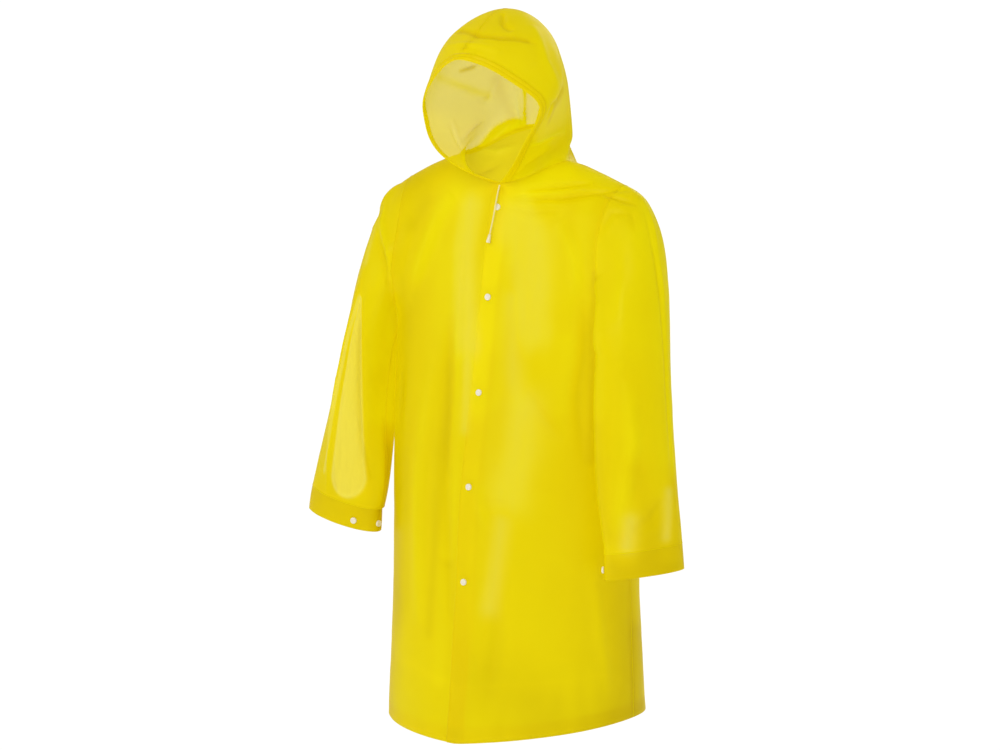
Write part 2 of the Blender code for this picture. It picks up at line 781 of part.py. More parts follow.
def add_casing(forms, normals, group):
    # One channel, up the left face edge, over the brim and down the right one
    left, right = forms["hood_left"][0][:, :3], forms["hood_right"][0][:, :3]
    ways = normals["hood_left"][:, :3], normals["hood_right"][:, :3]
    strip = np.concatenate((left, right[-2::-1]))
    out = np.concatenate((ways[0], ways[1][-2::-1]))
    strip[:, 1] += out[:, 1] * CASING_CROWN
    strip = trimmed(strip, NECK_GAP, SEAM_GAP)
    add_wall("hood_casing", strip, out, CASING_WALL, group)


build()
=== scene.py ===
# Dresses the hooded raincoat: smooth translucent film panels with their turned hems,
# welded seams, hood channel, snap caps and drawstring, on a pale floor in soft light.

import math

import bmesh
import bpy
import numpy as np
from mathutils import Matrix, Vector, noise
from mathutils.bvhtree import BVHTree
from mathutils.kdtree import KDTree


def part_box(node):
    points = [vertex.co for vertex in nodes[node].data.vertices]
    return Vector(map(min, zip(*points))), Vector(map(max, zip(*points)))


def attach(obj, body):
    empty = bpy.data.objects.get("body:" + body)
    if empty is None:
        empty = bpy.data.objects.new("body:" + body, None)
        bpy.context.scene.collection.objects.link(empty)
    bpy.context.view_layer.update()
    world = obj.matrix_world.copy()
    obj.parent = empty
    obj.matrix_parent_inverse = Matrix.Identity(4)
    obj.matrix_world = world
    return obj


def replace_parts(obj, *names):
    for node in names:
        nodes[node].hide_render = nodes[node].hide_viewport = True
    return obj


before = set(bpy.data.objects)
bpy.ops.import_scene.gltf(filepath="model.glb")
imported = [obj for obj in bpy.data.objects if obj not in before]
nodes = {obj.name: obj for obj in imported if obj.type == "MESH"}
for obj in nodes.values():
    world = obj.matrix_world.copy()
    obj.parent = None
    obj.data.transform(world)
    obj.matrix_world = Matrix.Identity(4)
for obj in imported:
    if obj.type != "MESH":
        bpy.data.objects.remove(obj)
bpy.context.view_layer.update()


def deselectAll():
    for obj in list(bpy.context.selected_objects):
        obj.select_set(False)


def makeActive(obj):
    deselectAll()
    obj.select_set(True)
    bpy.context.view_layer.objects.active = obj


def newObject(name, mesh, material):
    obj = bpy.data.objects.new(name, mesh)
    bpy.context.scene.collection.objects.link(obj)
    mesh.materials.clear()
    mesh.materials.append(material)
    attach(obj, "root")
    return obj


# The camera comes first
cameraSetup = {
    "place": (2.26742, -3.29543, 0.083),   # metres
    "turn": 35.0,                          # degrees round the coat, from straight in front
    "tilt": 7.098,                         # degrees down
    "lens": 75.17,                         # millimetres, on a sensor this wide
    "sensor": 36.0,
    "sight": 60.0,                         # how far it sees, metres
}


def makeCamera(setup):
    camera = bpy.data.cameras.new("camera")
    camera.lens = setup["lens"]
    camera.sensor_width = setup["sensor"]
    camera.clip_end = setup["sight"]
    obj = bpy.data.objects.new("camera", camera)
    bpy.context.scene.collection.objects.link(obj)
    obj.location = setup["place"]
    obj.rotation_euler = (math.radians(90.0 - setup["tilt"]), 0.0, math.radians(setup["turn"]))
    bpy.context.scene.camera = obj


makeCamera(cameraSetup)


# Materials: the frosted film, and the plastics of caps, cord and bell
film = {
    "normal": (0.932, 0.830, 0.001),     # the film's colour
    "paintedLight": (1.0, 0.965, 0.003),       # painted light: where it lies doubled or faces the light
    "deep": (0.785, 0.668, 0.0005),      # where it hangs in its own shade
    "milky": (1.0, 0.97, 0.190),         # painted sheen and light shining through, on the pale patches
    "clear": (0.98, 0.95, 0.22),         # light that goes straight through
    "glowShare": 0.48,                   # light that it scatters through, of what isn't clear
    "clearShare": 0.045,                 # seen square on; none at a glancing angle
    "clearInside": 0.0,                  # what its inner side lets through besides
    "milkyClear": 0.17,                  # what the pale patches let through besides
    "edgeBlend": 0.28,                   # how soon it closes towards a glancing angle
    "mottle": 0.55,                      # how uneven the colour is
    "streaks": (0.7, 0.45),              # how streaky the pale patches are, and their mean
    "roughness": 0.36,
    "gloss": 0.11,
    "bend": 1.45,                        # index of refraction
    "grain": 0.10,                       # strength of the fine frosting
    "grainDepth": 0.002,
}
hoodFilm = {**film, "normal": (0.975, 0.885, 0.002), "deep": (0.86, 0.73, 0.001),
            "clear": (0.98, 0.95, 0.92), "clearShare": 0.012, "clearInside": 0.138}
plastics = {                             # colour, its painted shade for the hollows, roughness, grain size per metre
    "snapPlastic": ((0.88, 0.87, 0.78), (0.80, 0.78, 0.62), 0.30, 700.0),
    "cordBraid": ((0.90, 0.85, 0.40), (0.76, 0.69, 0.22), 0.62, 1400.0),
    "bellPlastic": ((0.88, 0.86, 0.62), (0.80, 0.76, 0.46), 0.34, 600.0),
}
plasticSurfaceAndShade = {
    "edges": (0.46, 0.56),               # painted shade in the hollows: the pointiness below which it is full, and above which there is none
    "most": 0.9,
    "dulling": 0.25,                     # how much the grain changes the roughness
    "shine": 0.12,                       # taken off the roughness between the grains
    "grain": 0.18,
    "grainDepth": 0.0003,
    "glow": 0.15,
    "glowReach": (0.004, 0.003, 0.002),
}
frosting = {                             # how fine each pattern is, per metre, and how rich
    "fine": (900.0, 3.0),
    "wave": (14.0, 2.0),
    "patch": (7.0, 4.0),
    "streak": (42.0, 4.0),
    "stretch": (1.0, 1.0, 0.22),         # the streaks run down the film
    "fineShare": 0.06,                   # height of the fine grain to that of the waves
}


def feed(tree, socket, value):
    # gives an input its value, or links the output that it comes from
    if isinstance(value, bpy.types.NodeSocket):
        tree.links.new(value, socket)
    else:
        socket.default_value = (*value, 1.0) if socket.type == "RGBA" else value


def feedAll(tree, node, *firsts, **named):
    for socket, value in zip(node.inputs, firsts):
        feed(tree, socket, value)
    for name, value in named.items():
        feed(tree, node.inputs[name.replace("_", " ")], value)
    return node


def addNode(tree, kind, *firsts, **named):
    return feedAll(tree, tree.nodes.new("ShaderNode" + kind), *firsts, **named)


def noisePattern(tree, place, scale, detail):
    return addNode(tree, "TexNoise", Vector=place, Scale=scale, Detail=detail).outputs["Fac"]


def calculate(tree, kind, *values):
    node = addNode(tree, "Math", *values)
    node.operation = kind
    return node.outputs[0]


def mixColour(tree, share, first, second):
    node = addNode(tree, "Mix", share)
    node.data_type = "RGBA"
    feed(tree, node.inputs[6], first)
    feed(tree, node.inputs[7], second)
    return node.outputs[2]


def attributeOf(tree, label):
    node = addNode(tree, "Attribute")
    node.attribute_name = label
    return node.outputs["Fac"]


def makeFrostGroup(setup):
    # fine frosting and soft waviness of extruded film, as a height, with its patches and streaks
    group = bpy.data.node_groups.new("filmFrost", "ShaderNodeTree")
    face = group.interface
    for name, pattern in (("Fine scale", setup["fine"]), ("Wave scale", setup["wave"])):
        face.new_socket(name, in_out="INPUT", socket_type="NodeSocketFloat").default_value = pattern[0]
    for name in ("Height", "Patch", "Streak"):
        face.new_socket(name, in_out="OUTPUT", socket_type="NodeSocketFloat")
    enter = group.nodes.new("NodeGroupInput")
    place = addNode(group, "TexCoord").outputs["Object"]
    stretched = addNode(group, "Mapping", Vector=place, Scale=setup["stretch"]).outputs["Vector"]
    fine = noisePattern(group, place, enter.outputs["Fine scale"], setup["fine"][1])
    wave = noisePattern(group, place, enter.outputs["Wave scale"], setup["wave"][1])
    feedAll(group, group.nodes.new("NodeGroupOutput"),
            Height=calculate(group, "MULTIPLY_ADD", fine, setup["fineShare"], wave),
            Patch=noisePattern(group, place, *setup["patch"]),
            Streak=noisePattern(group, stretched, *setup["streak"]))
    return group


frostGroup = makeFrostGroup(frosting)


def newMaterial(name):
    # a material with its nodes, its Principled shader and the frosting
    material = bpy.data.materials.new(name)
    material.use_nodes = True
    tree = material.node_tree
    frost = addNode(tree, "Group")
    frost.node_tree = frostGroup
    return material, tree, tree.nodes["Principled BSDF"], frost


def makeFilm(name, setup):
    material, tree, skin, frost = newMaterial(name)
    uneven = calculate(tree, "SUBTRACT", frost.outputs["Patch"], 0.5)
    # the tone: random mottle, plus the painted light and shade carried by the lighter attribute
    tone = calculate(tree, "MULTIPLY_ADD", uneven, setup["mottle"], attributeOf(tree, "lighter"))
    # pale patches: painted sheen and light shining through, streaky; the same share also lets more light
    # straight through
    streaks = calculate(tree, "MULTIPLY_ADD", frost.outputs["Streak"], *setup["streaks"])
    paleSheenAndClear = calculate(tree, "MULTIPLY", streaks, attributeOf(tree, "milky"))
    # painted shade and light: the colour goes towards its shaded copy where the tone is below 0, and towards
    # its lit copy above
    colour = mixColour(tree, calculate(tree, "MULTIPLY", tone, -1.0), setup["normal"], setup["deep"])
    colour = mixColour(tree, tone, colour, setup["paintedLight"])
    colour = mixColour(tree, paleSheenAndClear, colour, setup["milky"])
    bump = addNode(tree, "Bump", Strength=setup["grain"], Distance=setup["grainDepth"],
                   Height=frost.outputs["Height"])
    feedAll(tree, skin, Base_Color=colour, Roughness=setup["roughness"], IOR=setup["bend"],
            Specular_IOR_Level=setup["gloss"], Normal=bump.outputs["Normal"])
    glow = addNode(tree, "BsdfTranslucent", Color=colour)
    clear = addNode(tree, "BsdfTransparent", Color=setup["clear"])
    lit = addNode(tree, "MixShader", setup["glowShare"], skin.outputs[0], glow.outputs[0])
    inside = addNode(tree, "NewGeometry").outputs["Backfacing"]
    least = calculate(tree, "MULTIPLY_ADD", inside, setup["clearInside"], setup["clearShare"])
    most = calculate(tree, "MULTIPLY_ADD", paleSheenAndClear, setup["milkyClear"], least)
    edge = addNode(tree, "LayerWeight", Blend=setup["edgeBlend"])
    share = addNode(tree, "MapRange", Value=edge.outputs["Facing"], To_Min=most, To_Max=0.0)
    whole = addNode(tree, "MixShader", share.outputs["Result"], lit.outputs[0], clear.outputs[0])
    feedAll(tree, tree.nodes["Material Output"], whole.outputs[0])
    return material


def makePlastic(name, colour, shadedColour, roughness, grain):
    material, tree, skin, frost = newMaterial(name)
    surfaceAndShade = plasticSurfaceAndShade
    feedAll(tree, frost, Fine_scale=grain * 2, Wave_scale=grain / 2)
    height = frost.outputs["Height"]
    bump = addNode(tree, "Bump", Strength=surfaceAndShade["grain"], Distance=surfaceAndShade["grainDepth"], Height=height)
    # painted shade: the shaded colour goes into the hollows, where pointiness is low, patchy with the grain;
    # convex edges keep the plain colour
    sharp = addNode(tree, "NewGeometry").outputs["Pointiness"]
    hollowMask = addNode(tree, "MapRange", Value=sharp, From_Min=surfaceAndShade["edges"][0],
                     From_Max=surfaceAndShade["edges"][1], To_Min=surfaceAndShade["most"], To_Max=0.0)
    shade = calculate(tree, "MULTIPLY", hollowMask.outputs["Result"], height)
    dull = calculate(tree, "MULTIPLY_ADD", height, surfaceAndShade["dulling"], roughness - surfaceAndShade["shine"])
    feedAll(tree, skin, Base_Color=mixColour(tree, shade, colour, shadedColour), Roughness=dull,
            Normal=bump.outputs["Normal"], Subsurface_Weight=surfaceAndShade["glow"],
            Subsurface_Radius=surfaceAndShade["glowReach"])
    return material


filmMaterial = makeFilm("lemonFilm", film)
hoodMaterial = makeFilm("lemonFilmHood", hoodFilm)
snapMaterial, cordMaterial, bellMaterial = (makePlastic(name, *values) for name, values in plastics.items())


# Panels, from the outer skin of each CAD wall: a line inside each, which its outer side faces away from
spines = {
    "body": ((0, 0, -1.2), (0, 0, -0.16), (0.19, 0, -0.16), (-0.19, 0, -0.16)),
    "hood": ((0, -0.01, 0.02), (0, -0.05, 0.13), (0, -0.04, 0.17)),
    "leftArm": ((0.20, 0, -0.17), (0.262, 0, -0.17), (0.30, -0.04, -0.25), (0.314, -0.083, -0.37),
                (0.325, -0.092, -0.47), (0.335, -0.098, -0.58), (0.347, -0.096, -0.80)),
    "rightArm": ((-0.20, 0, -0.17), (-0.262, 0, -0.17), (-0.31, -0.02, -0.25), (-0.329, -0.036, -0.37),
                 (-0.338, -0.060, -0.47), (-0.344, -0.080, -0.58), (-0.348, -0.100, -0.80)),
}
panels = {
    "back": "body",
    "front_left": "body",
    "front_right": "body",
    "sleeve_left": "leftArm",
    "sleeve_right": "rightArm",
    "cuff_left": "leftArm",
    "cuff_right": "rightArm",
    "hood_left": "hood",
    "hood_right": "hood",
    "hood_casing": "hood",
}
skinSetup = {
    "wall": 0.0030,        # no wall is thicker
    "merge": 1e-5,         # corners of the wall's triangles closer than this are one
    "weld": 0.0016,        # seam edges closer than this are one line while the form is smoothed
    "rounds": 3,           # subdivision levels
}


def nearestOnSpine(point, spine):
    best, bestGap = None, math.inf
    for a, b in zip(spine[:-1], spine[1:]):
        a, b = Vector(a), Vector(b)
        along = b - a
        share = min(max((point - a).dot(along) / along.length_squared, 0.0), 1.0)
        spot = a + along * share
        gap = (point - spot).length
        if gap < bestGap:
            best, bestGap = spot, gap
    return best


def connected(faces):
    # the faces in groups that share edges
    left, groups = set(faces), []
    while left:
        group = [left.pop()]
        for face in group:
            for edge in face.edges:
                for other in edge.link_faces:
                    if other in left:
                        left.remove(other)
                        group.append(other)
        groups.append(group)
    return groups


def outerSkin(node, spine):
    # the wall's outer side: without its rim a wall falls in two, and this half looks away from the spine
    form = bmesh.new()
    form.from_mesh(node.data)
    bmesh.ops.remove_doubles(form, verts=form.verts, dist=skinSetup["merge"])
    shortest = {face: min(edge.calc_length() for edge in face.edges) for face in form.faces}
    outside = set()
    for group in connected(face for face in form.faces if shortest[face] > skinSetup["wall"]):
        facing = 0.0
        for face in group:
            middle = face.calc_center_median()
            away = (middle - nearestOnSpine(middle, spine)).normalized()
            facing += face.calc_area() * face.normal.dot(away)
        if facing > 0:
            outside.update(vert for face in group for vert in face.verts)
    inner = [face for face in form.faces if not outside.issuperset(face.verts)]
    bmesh.ops.delete(form, geom=inner, context="FACES")
    loose = [vert for vert in form.verts if not vert.link_faces]
    bmesh.ops.delete(form, geom=loose, context="VERTS")
    return form


def joinedSkins():
    # one mesh of all panels, each face marked with its panel, seams closed
    whole = bmesh.new()
    mark = whole.faces.layers.int.new("panel")
    for number, (name, spineName) in enumerate(panels.items()):
        skin = outerSkin(nodes[name], spines[spineName])
        made = {vert: whole.verts.new(vert.co) for vert in skin.verts}
        for face in skin.faces:
            whole.faces.new([made[vert] for vert in face.verts])[mark] = number
        skin.free()
    return whole, mark


def treeOf(spots):
    # the numbers of the spots, to be found by place
    tree = KDTree(len(spots))
    for number, spot in enumerate(spots):
        tree.insert(spot, number)
    tree.balance()
    return tree


def weldSeams(form, mark):
    # closes the seams: edge points of two panels that lie close together become one
    edge = [v for v in form.verts if v.is_boundary]
    near = treeOf([vert.co for vert in edge])
    target = {}
    for number, vert in enumerate(edge):
        panel = vert.link_faces[0][mark]
        for _, other, gap in near.find_range(vert.co, skinSetup["weld"]):
            mate = edge[other]
            if other > number and mate.link_faces[0][mark] != panel and mate not in target:
                middle = (vert.co + mate.co) / 2
                vert.co, mate.co = middle, middle.copy()
                target[mate] = target.get(vert, vert)
    bmesh.ops.weld_verts(form, targetmap=target)


def smoothForm():
    # all panels as one fine smooth mesh
    form, mark = joinedSkins()
    weldSeams(form, mark)
    bmesh.ops.join_triangles(form, faces=form.faces, angle_face_threshold=math.pi,
                             angle_shape_threshold=math.pi, topology_influence=1.5)
    mesh = bpy.data.meshes.new("wholeForm")
    form.to_mesh(mesh)
    form.free()
    obj = bpy.data.objects.new("wholeForm", mesh)
    bpy.context.scene.collection.objects.link(obj)
    makeActive(obj)
    smooth = obj.modifiers.new("smooth", "SUBSURF")
    smooth.levels = smooth.render_levels = skinSetup["rounds"]
    smooth.boundary_smooth = "PRESERVE_CORNERS"
    bpy.ops.object.modifier_apply(modifier="smooth")
    fine = bmesh.new()
    fine.from_mesh(mesh)
    bpy.data.objects.remove(obj)
    for kind in (fine.verts, fine.edges, fine.faces):
        kind.ensure_lookup_table()
        kind.index_update()
    return fine, fine.faces.layers.int["panel"]


# Creases of the film: the line each follows, how far it stands out (or in) and its half width,
# all in millimetres, and how round its top is
creases = (
    # hood: across the top, the pucker above the brim, down the side, inside
    (((-70, -110, 236), (-50, -116, 238), (13, -140, 227), (52, -132, 223), (90, -97, 217),
      (105, -80, 215)), -4, 6, 1.6),
    (((18, -74, 271), (36, -100, 250), (63, -108, 234)), -3, 6, 1.6),
    (((-66, -141, 206), (7, -163, 210), (64, -148, 197)), 2.5, 7, 1.8),
    (((74, -57, 248), (118, -82, 183), (138, -69, 128)), 3, 11, 1.8),
    (((110, -9, 133), (138, -85, 101), (129, -92, 76)), -3.5, 6, 1.5),
    (((120, -60, 170), (128, -40, 110)), -2.5, 7, 1.6),
    (((-121, -18, 167), (-110, -1, 175), (-90, 20, 188)), -4, 4.5, 1.3),
    (((-116, 33, 21), (-92, 57, 50), (-66, 74, 73)), -4.5, 6, 1.5),
    (((-118, 30, 15), (-90, 60, 12), (-40, 85, 30)), 4, 7, 1.5),
    (((-121, -45, 77), (-112, -39, 35), (-105, 26, 73)), -2.5, 6, 1.5),
    (((-81, 58, 154), (-93, 49, 122), (-108, 13, 112)), -2, 7, 1.8),
    (((98, 16, 53), (102, -47, 42), (106, -105, 28)), 3, 6, 1.5),
    (((104, 1, 27), (89, -38, 10), (70, -70, -8), (45, -70, -28)), -3, 8, 1.6),
    (((13, -66, 275), (31, -95, 257), (43, -106, 244), (61, -106, 236)), -2.5, 4, 1.4),
    # the hood's inner wall
    (((-85, 54, 150), (-93, 48, 127), (-100, 38, 104)), 3, 6, 1.4),
    (((-118, -52, 64), (-109, -49, 39), (-98, -44, 16)), 2.5, 4, 1.4),
    (((-106, -33, 35), (-108, 3, 58), (-104, 36, 73)), -2.5, 4.5, 1.4),
    (((-61, 84, 135), (-58, 83, 93), (-44, 71, 62)), 5, 6, 1.4),
    (((-42, 91, 140), (-36, 85, 89), (-24, 69, 58)), -5, 5, 1.4),
    (((-120, 0, 130), (-105, 30, 110), (-90, 50, 95)), 2.5, 6, 1.4),
    # left shoulder, from the throat out to the sleeve
    (((60, -54, -56), (130, -48, -50), (190, -32, -42)), -3.5, 5.5, 1.5),
    (((28, -61, -77), (134, -55, -70), (212, -40, -59), (262, -11, -52)), -4.5, 6, 1.5),
    (((219, -41, -61), (257, -37, -71), (286, -24, -80)), -3.5, 5, 1.5),
    (((16, -64, -89), (72, -62, -97), (137, -59, -92)), -2.2, 7, 1.8),
    (((30, -60, -68), (110, -52, -60), (180, -40, -52)), 2.2, 6, 1.8),
    # left sleeve: down its outer side, and the bell above its cuff
    (((279, -9, -66), (321, -39, -136), (346, -52, -212), (359, -58, -284), (369, -63, -364),
      (378, -70, -444), (392, -80, -569)), -2.4, 5, 1.4),
    (((300, -10, -90), (338, -36, -160), (362, -48, -270)), 2, 4.5, 1.5),
    (((335, -137, -386), (350, -140, -493), (338, -153, -601), (323, -155, -675)), 4, 14, 2),
    (((351, -147, -655), (377, -126, -637), (393, -102, -600)), -3.5, 12, 2),
    (((236, -77, -134), (249, -60, -94), (284, -44, -96), (302, -60, -132)), -1.4, 6, 1.8),
    (((300, -110, -200), (312, -120, -330)), 2, 12, 2),
    # right sleeve: the long fold down its front, and from the shoulder to the armpit
    (((-302, -101, -268), (-298, -112, -356), (-289, -124, -473), (-281, -129, -551), (-263, -121, -630)),
      -7, 6, 1.2),
    (((-330, -104, -298), (-352, -112, -420), (-366, -122, -539), (-365, -136, -668)), 3, 6, 1.5),
    (((-288, -40, -85), (-281, -60, -122), (-245, -87, -178), (-242, -85, -240)), 4.5, 8, 1.6),
    (((-284, -69, -145), (-250, -92, -201), (-244, -85, -262)), -4.5, 6, 1.5),
    (((-262, -90, -500), (-256, -105, -600), (-256, -112, -690)), 4, 10, 1.8),
    # right front: long soft folds beside the placket and down from the shoulder
    (((-87, -103, -305), (-68, -136, -492), (-50, -164, -679), (-30, -180, -880)), -4.5, 11, 1.7),
    (((-110, -60, -70), (-145, -61, -108), (-175, -77, -195), (-200, -83, -290)), 3.5, 16, 2),
    (((-72, -77, -172), (-63, -106, -323), (-50, -128, -453)), 2.8, 7, 1.7),
    (((-120, -110, -360), (-125, -150, -640), (-110, -175, -900)), 4, 20, 2),
    (((-200, -90, -400), (-205, -110, -520)), -2.5, 10, 2),
    # left front: soft folds from the shoulder, across the waist and near the side
    (((139, -62, -110), (181, -75, -181), (198, -84, -254)), 3.5, 14, 2),
    (((196, -81, -217), (210, -85, -327), (204, -99, -437), (219, -101, -565)), -4, 12, 1.8),
    (((90, -121, -406), (138, -125, -458), (182, -118, -511)), -2.5, 12, 2),
    (((24, -155, -600), (30, -160, -640), (50, -165, -690)), 2.5, 12, 2),
    (((23, -162, -633), (73, -161, -630), (133, -151, -621)), -1.2, 4, 1.6),
    (((230, -95, -734), (244, -82, -886), (255, -70, -1002)), 3, 12, 2),
    (((70, -150, -700), (75, -185, -880), (60, -200, -1040)), -3, 18, 2),
    # back: folds that fall from the shoulder blades, and a few across the shoulders
    (((110, 100, -140), (120, 110, -420), (125, 140, -760)), -4.5, 14, 1.8),
    (((-95, 100, -150), (-110, 110, -400), (-100, 140, -700)), -4, 14, 1.8),
    (((20, 108, -200), (10, 108, -420), (20, 120, -640)), 3.5, 18, 2),
    (((-180, 80, -330), (-190, 110, -620), (-200, 130, -950)), 4, 14, 1.8),
    (((190, 80, -340), (200, 105, -600), (190, 140, -900)), 4, 14, 1.8),
    (((50, 150, -700), (60, 168, -900), (70, 175, -1060)), -3.5, 16, 2),
    (((60, 66, -4), (130, 60, -30), (200, 45, -46)), -3.5, 6, 1.5),
    (((-60, 66, -4), (-130, 60, -30), (-205, 45, -48)), -3.5, 6, 1.5),
    (((210, 50, -80), (226, 78, -150), (236, 85, -220)), 3, 10, 1.8),
    (((-210, 50, -80), (-226, 78, -150), (-236, 85, -220)), 3, 10, 1.8),
    # backs of the sleeves and of the hood
    (((285, 30, -110), (318, 10, -250), (338, -30, -400), (350, -45, -560)), -3.5, 7, 1.5),
    (((-285, 30, -110), (-325, 30, -250), (-345, 0, -400), (-350, -30, -560)), -3.5, 7, 1.5),
    (((60, 80, 60), (80, 85, 120), (60, 70, 190)), -3, 8, 1.6),
    (((-50, 80, 70), (-75, 85, 120), (-60, 70, 170)), 3, 8, 1.6),
)
# Slack that stands out (or in) over a broad stretch: how its panels' names start, then as for creases
bulges = (
    ("sleeve_right", ((-286, 10, -350), (-290, -14, -432), (-283, -48, -515), (-270, -76, -600),
                      (-260, -88, -695)), 20, 32, 2),
    ("sleeve_right", ((-320, -41, -138), (-330, -50, -167), (-340, -71, -227), (-350, -83, -286),
                      (-363, -85, -347), (-380, -88, -438)), -7.5, 35, 2),
    ("sleeve_right", ((-268, -8, -60), (-292, -20, -82), (-310, -32, -108)), 9, 20, 2),
    ("sleeve_left", ((236, -88, -215), (262, -107, -271), (267, -125, -307), (262, -130, -342)),
     15, 24, 2),
    ("sleeve_left", ((263, -133, -369), (270, -138, -442), (278, -143, -551), (287, -143, -690)),
     8, 35, 2),
    ("", ((92, 60, 12), (106, 34, 12), (116, 16, 4), (126, 0, -12)), -14, 20, 2),
)
panelTone = {"sleeve_left": 0.34, "sleeve_right": 0.22, "hood_casing": -0.30, "cuff_left": -0.05,
             "cuff_right": -0.30}   # painted light and shade: how much lighter a whole panel looks
creaseStrength = 1.5
creaseReach = 4.0         # a crease has faded out this many half widths from its line
creaseFade = 0.6          # how soon a crease rises from its ends: the less, the sooner
creaseTone = 70.0         # painted light and shade: how much lighter the film is painted for each metre that a crease stands out
ripple = {"height": 0.0011, "size": 0.085, "fine": 0.00035, "fineSize": 0.028}   # metres

# Painted light and shade, and pale painted sheen: where the film is painted paler or deeper: the line each
# patch follows and its half width (or that at both ends), in millimetres, how round it is, how much lighter
# (deeper below 0) and how milky
tones = (
    # the placket, painted lighter where four layers lie together
    (((0, -62, -85), (0, -112, -356), (0, -147, -542), (0, -173, -748), (0, -195, -1000),
      (0, -205, -1150)), 20.5, 8, 0.38, 0),
    (((0, -80, -170), (0, -112, -356), (0, -134, -460)), 24, 3, 0.4, 0),
    (((0, -80, -170), (0, -112, -356), (0, -155, -610)), 20, 3, 0.15, 0),
    # chest and waist of the right front: painted light and shade, and pale painted sheen
    (((-67, -61, -93), (-70, -77, -172), (-52, -96, -266), (-33, -110, -349)), 24, 2.5, 0.6, 0.45),
    (((-40, -105, -321), (-32, -121, -414), (-24, -140, -507)), 10, 2, 0.3, 0.4),
    (((-105, -57, -69), (-80, -76, -173), (-54, -106, -322)), 60, 2, 0.45, 0),
    (((-40, -112, -330), (-40, -143, -546), (-44, -168, -740)), 21, 5, 0.4, 0),
    (((-48, -172, -780), (-50, -191, -984)), 16, 3, 0.2, 0),
    (((-82, -103, -305), (-74, -136, -492), (-74, -164, -680), (-82, -180, -900)), 11, 2, -0.3, 0),
    (((-105, -55, -66), (-140, -66, -130), (-170, -78, -215)), 22, 2, 0.35, 0),
    (((-170, -55, -80), (-200, -66, -130)), 18, 2, -0.35, 0),
    (((-222, -80, -275), (-195, -119, -564), (-186, -139, -857)), 45, 2, -0.45, 0),
    (((-215, -100, -600), (-205, -125, -857), (-215, -135, -1060)), 45, 2, -0.5, 0),
    (((-118, -72, -190), (-114, -85, -300)), 35, 2, 0.3, 0),
    (((-230, -30, -60), (-202, -41, -43), (-154, -39, -23)), 30, 2, -0.45, 0),
    (((30, -60, -70), (110, -30, -30), (190, -10, -30), (240, -10, -45)), 35, 2, 0.45, 0),
    # chest and waist of the left front: painted light and shade, and pale painted sheen
    (((45, -67, -116), (75, -72, -150), (95, -85, -240), (105, -100, -310)), 45, 4, 0.55, 0.32),
    (((54, -96, -260), (70, -115, -369), (90, -127, -441)), 20, 2, 0.3, 0.28),
    (((105, -129, -459), (105, -142, -532), (90, -157, -610)), 40, 2.5, 0.55, 0.3),
    (((80, -166, -670), (70, -173, -760), (60, -179, -830)), 18, 2, 0.25, 0.35),
    (((69, -58, -75), (115, -77, -184), (140, -102, -329)), 70, 2, 0.4, 0),
    (((116, -126, -441), (110, -150, -569), (110, -169, -738), (140, -160, -850)), 70, 2, 0.18, 0),
    (((219, -83, -234), (229, -83, -437), (239, -82, -660)), 20, 2, -0.2, 0),
    (((230, -87, -206), (223, -77, -281), (225, -80, -363), (227, -85, -437), (231, -90, -547)),
      9, 3, -0.45, 0),
    (((262, -40, -760), (266, -30, -900), (268, -35, -1080)), 60, 2, -0.7, 0),
    (((150, -160, -1060), (240, -90, -1050)), 50, 2, -0.35, 0),
    (((272, 20, -900), (275, 10, -1080)), 40, 2, -0.9, 0),
    (((60, -190, -960), (150, -170, -990)), 60, 2, -0.4, 0),
    (((190, -65, -100), (205, -80, -250)), 32, 2, 0.35, 0),
    (((34, -85, -190), (36, -115, -340), (40, -135, -450)), 16, 2, 0.35, 0),
    (((178, -100, -330), (180, -115, -450)), 20, 2, 0.35, 0),
    (((20, -65, -95), (45, -75, -170)), 22, 2, 0.3, 0),
    (((-330, -130, -640), (-380, -110, -660)), 30, 2, -0.35, 0),
    # the hem lets no light straight through, and is painted a little deeper
    (((-230, -110, -1090), (-110, -180, -1110), (0, -205, -1130), (110, -180, -1110), (240, -100, -1090)),
      130, 8, -0.18, -1.6),
    # sleeves: the pale field beside the right one's fold, painted as light shining through and letting more
    # through besides, and painted light and shade at the creases above the left cuff
    (((-305, -101, -272), (-307, -121, -405), (-310, -136, -538), (-311, -139, -592), (-311, -141, -625)),
      (1, 41), 12, 0.1, 2.4),
    (((-311, -104, -272), (-340, -116, -408), (-362, -126, -518), (-378, -126, -621)), 6, 8, 0.2, 0.9),
    (((-303, -60, -130), (-306, -84, -204)), 7, 2, 0.2, 0.6),
    (((348, -148, -640), (343, -150, -685)), 14, 2, 0.3, 0.6),
    (((394, -89, -590), (396, -100, -670)), 9, 2, 0.3, 0.7),
    (((354, -142, -546), (377, -126, -637), (377, -127, -682)), 26, 2, -0.55, 0),
    (((300, -80, -140), (320, -100, -300)), 45, 2, 0.35, 0),
    (((330, -150, -740), (400, -110, -735)), 30, 3, -0.6, 0),
    (((330, -150, -675), (400, -115, -670)), 22, 2, -0.35, 0),
    (((310, -40, -120), (335, -66, -230), (352, -80, -380)), 24, 2, 0.25, 0),
    (((312, -8, -90), (346, -24, -160), (370, -34, -270), (382, -45, -400), (394, -60, -520)),
      34, 2, 0.95, 0),
    (((285, -150, -480), (292, -152, -560), (302, -150, -660)), 24, 2, -0.5, 0),
    (((400, -75, -580), (405, -85, -680)), 18, 2, -0.4, 0),
    (((-280, -90, -540), (-272, -90, -610), (-272, -95, -680)), 28, 2, -0.55, 0),
    (((-295, -85, -300), (-290, -90, -400)), 20, 2, 0.35, 0),
    (((-262, -80, -240), (-262, -80, -380)), 30, 2, 0.35, 0),
    (((-262, -30, -310), (-275, -20, -380), (-282, -30, -430), (-280, -60, -500)), 40, 2, 1.2, 0),
    (((120, 10, -20), (190, 10, -35)), 35, 2, 0.45, 0),
    (((90, -40, -40), (150, -30, -45), (210, -20, -55)), 35, 2, 0.3, 0),
)
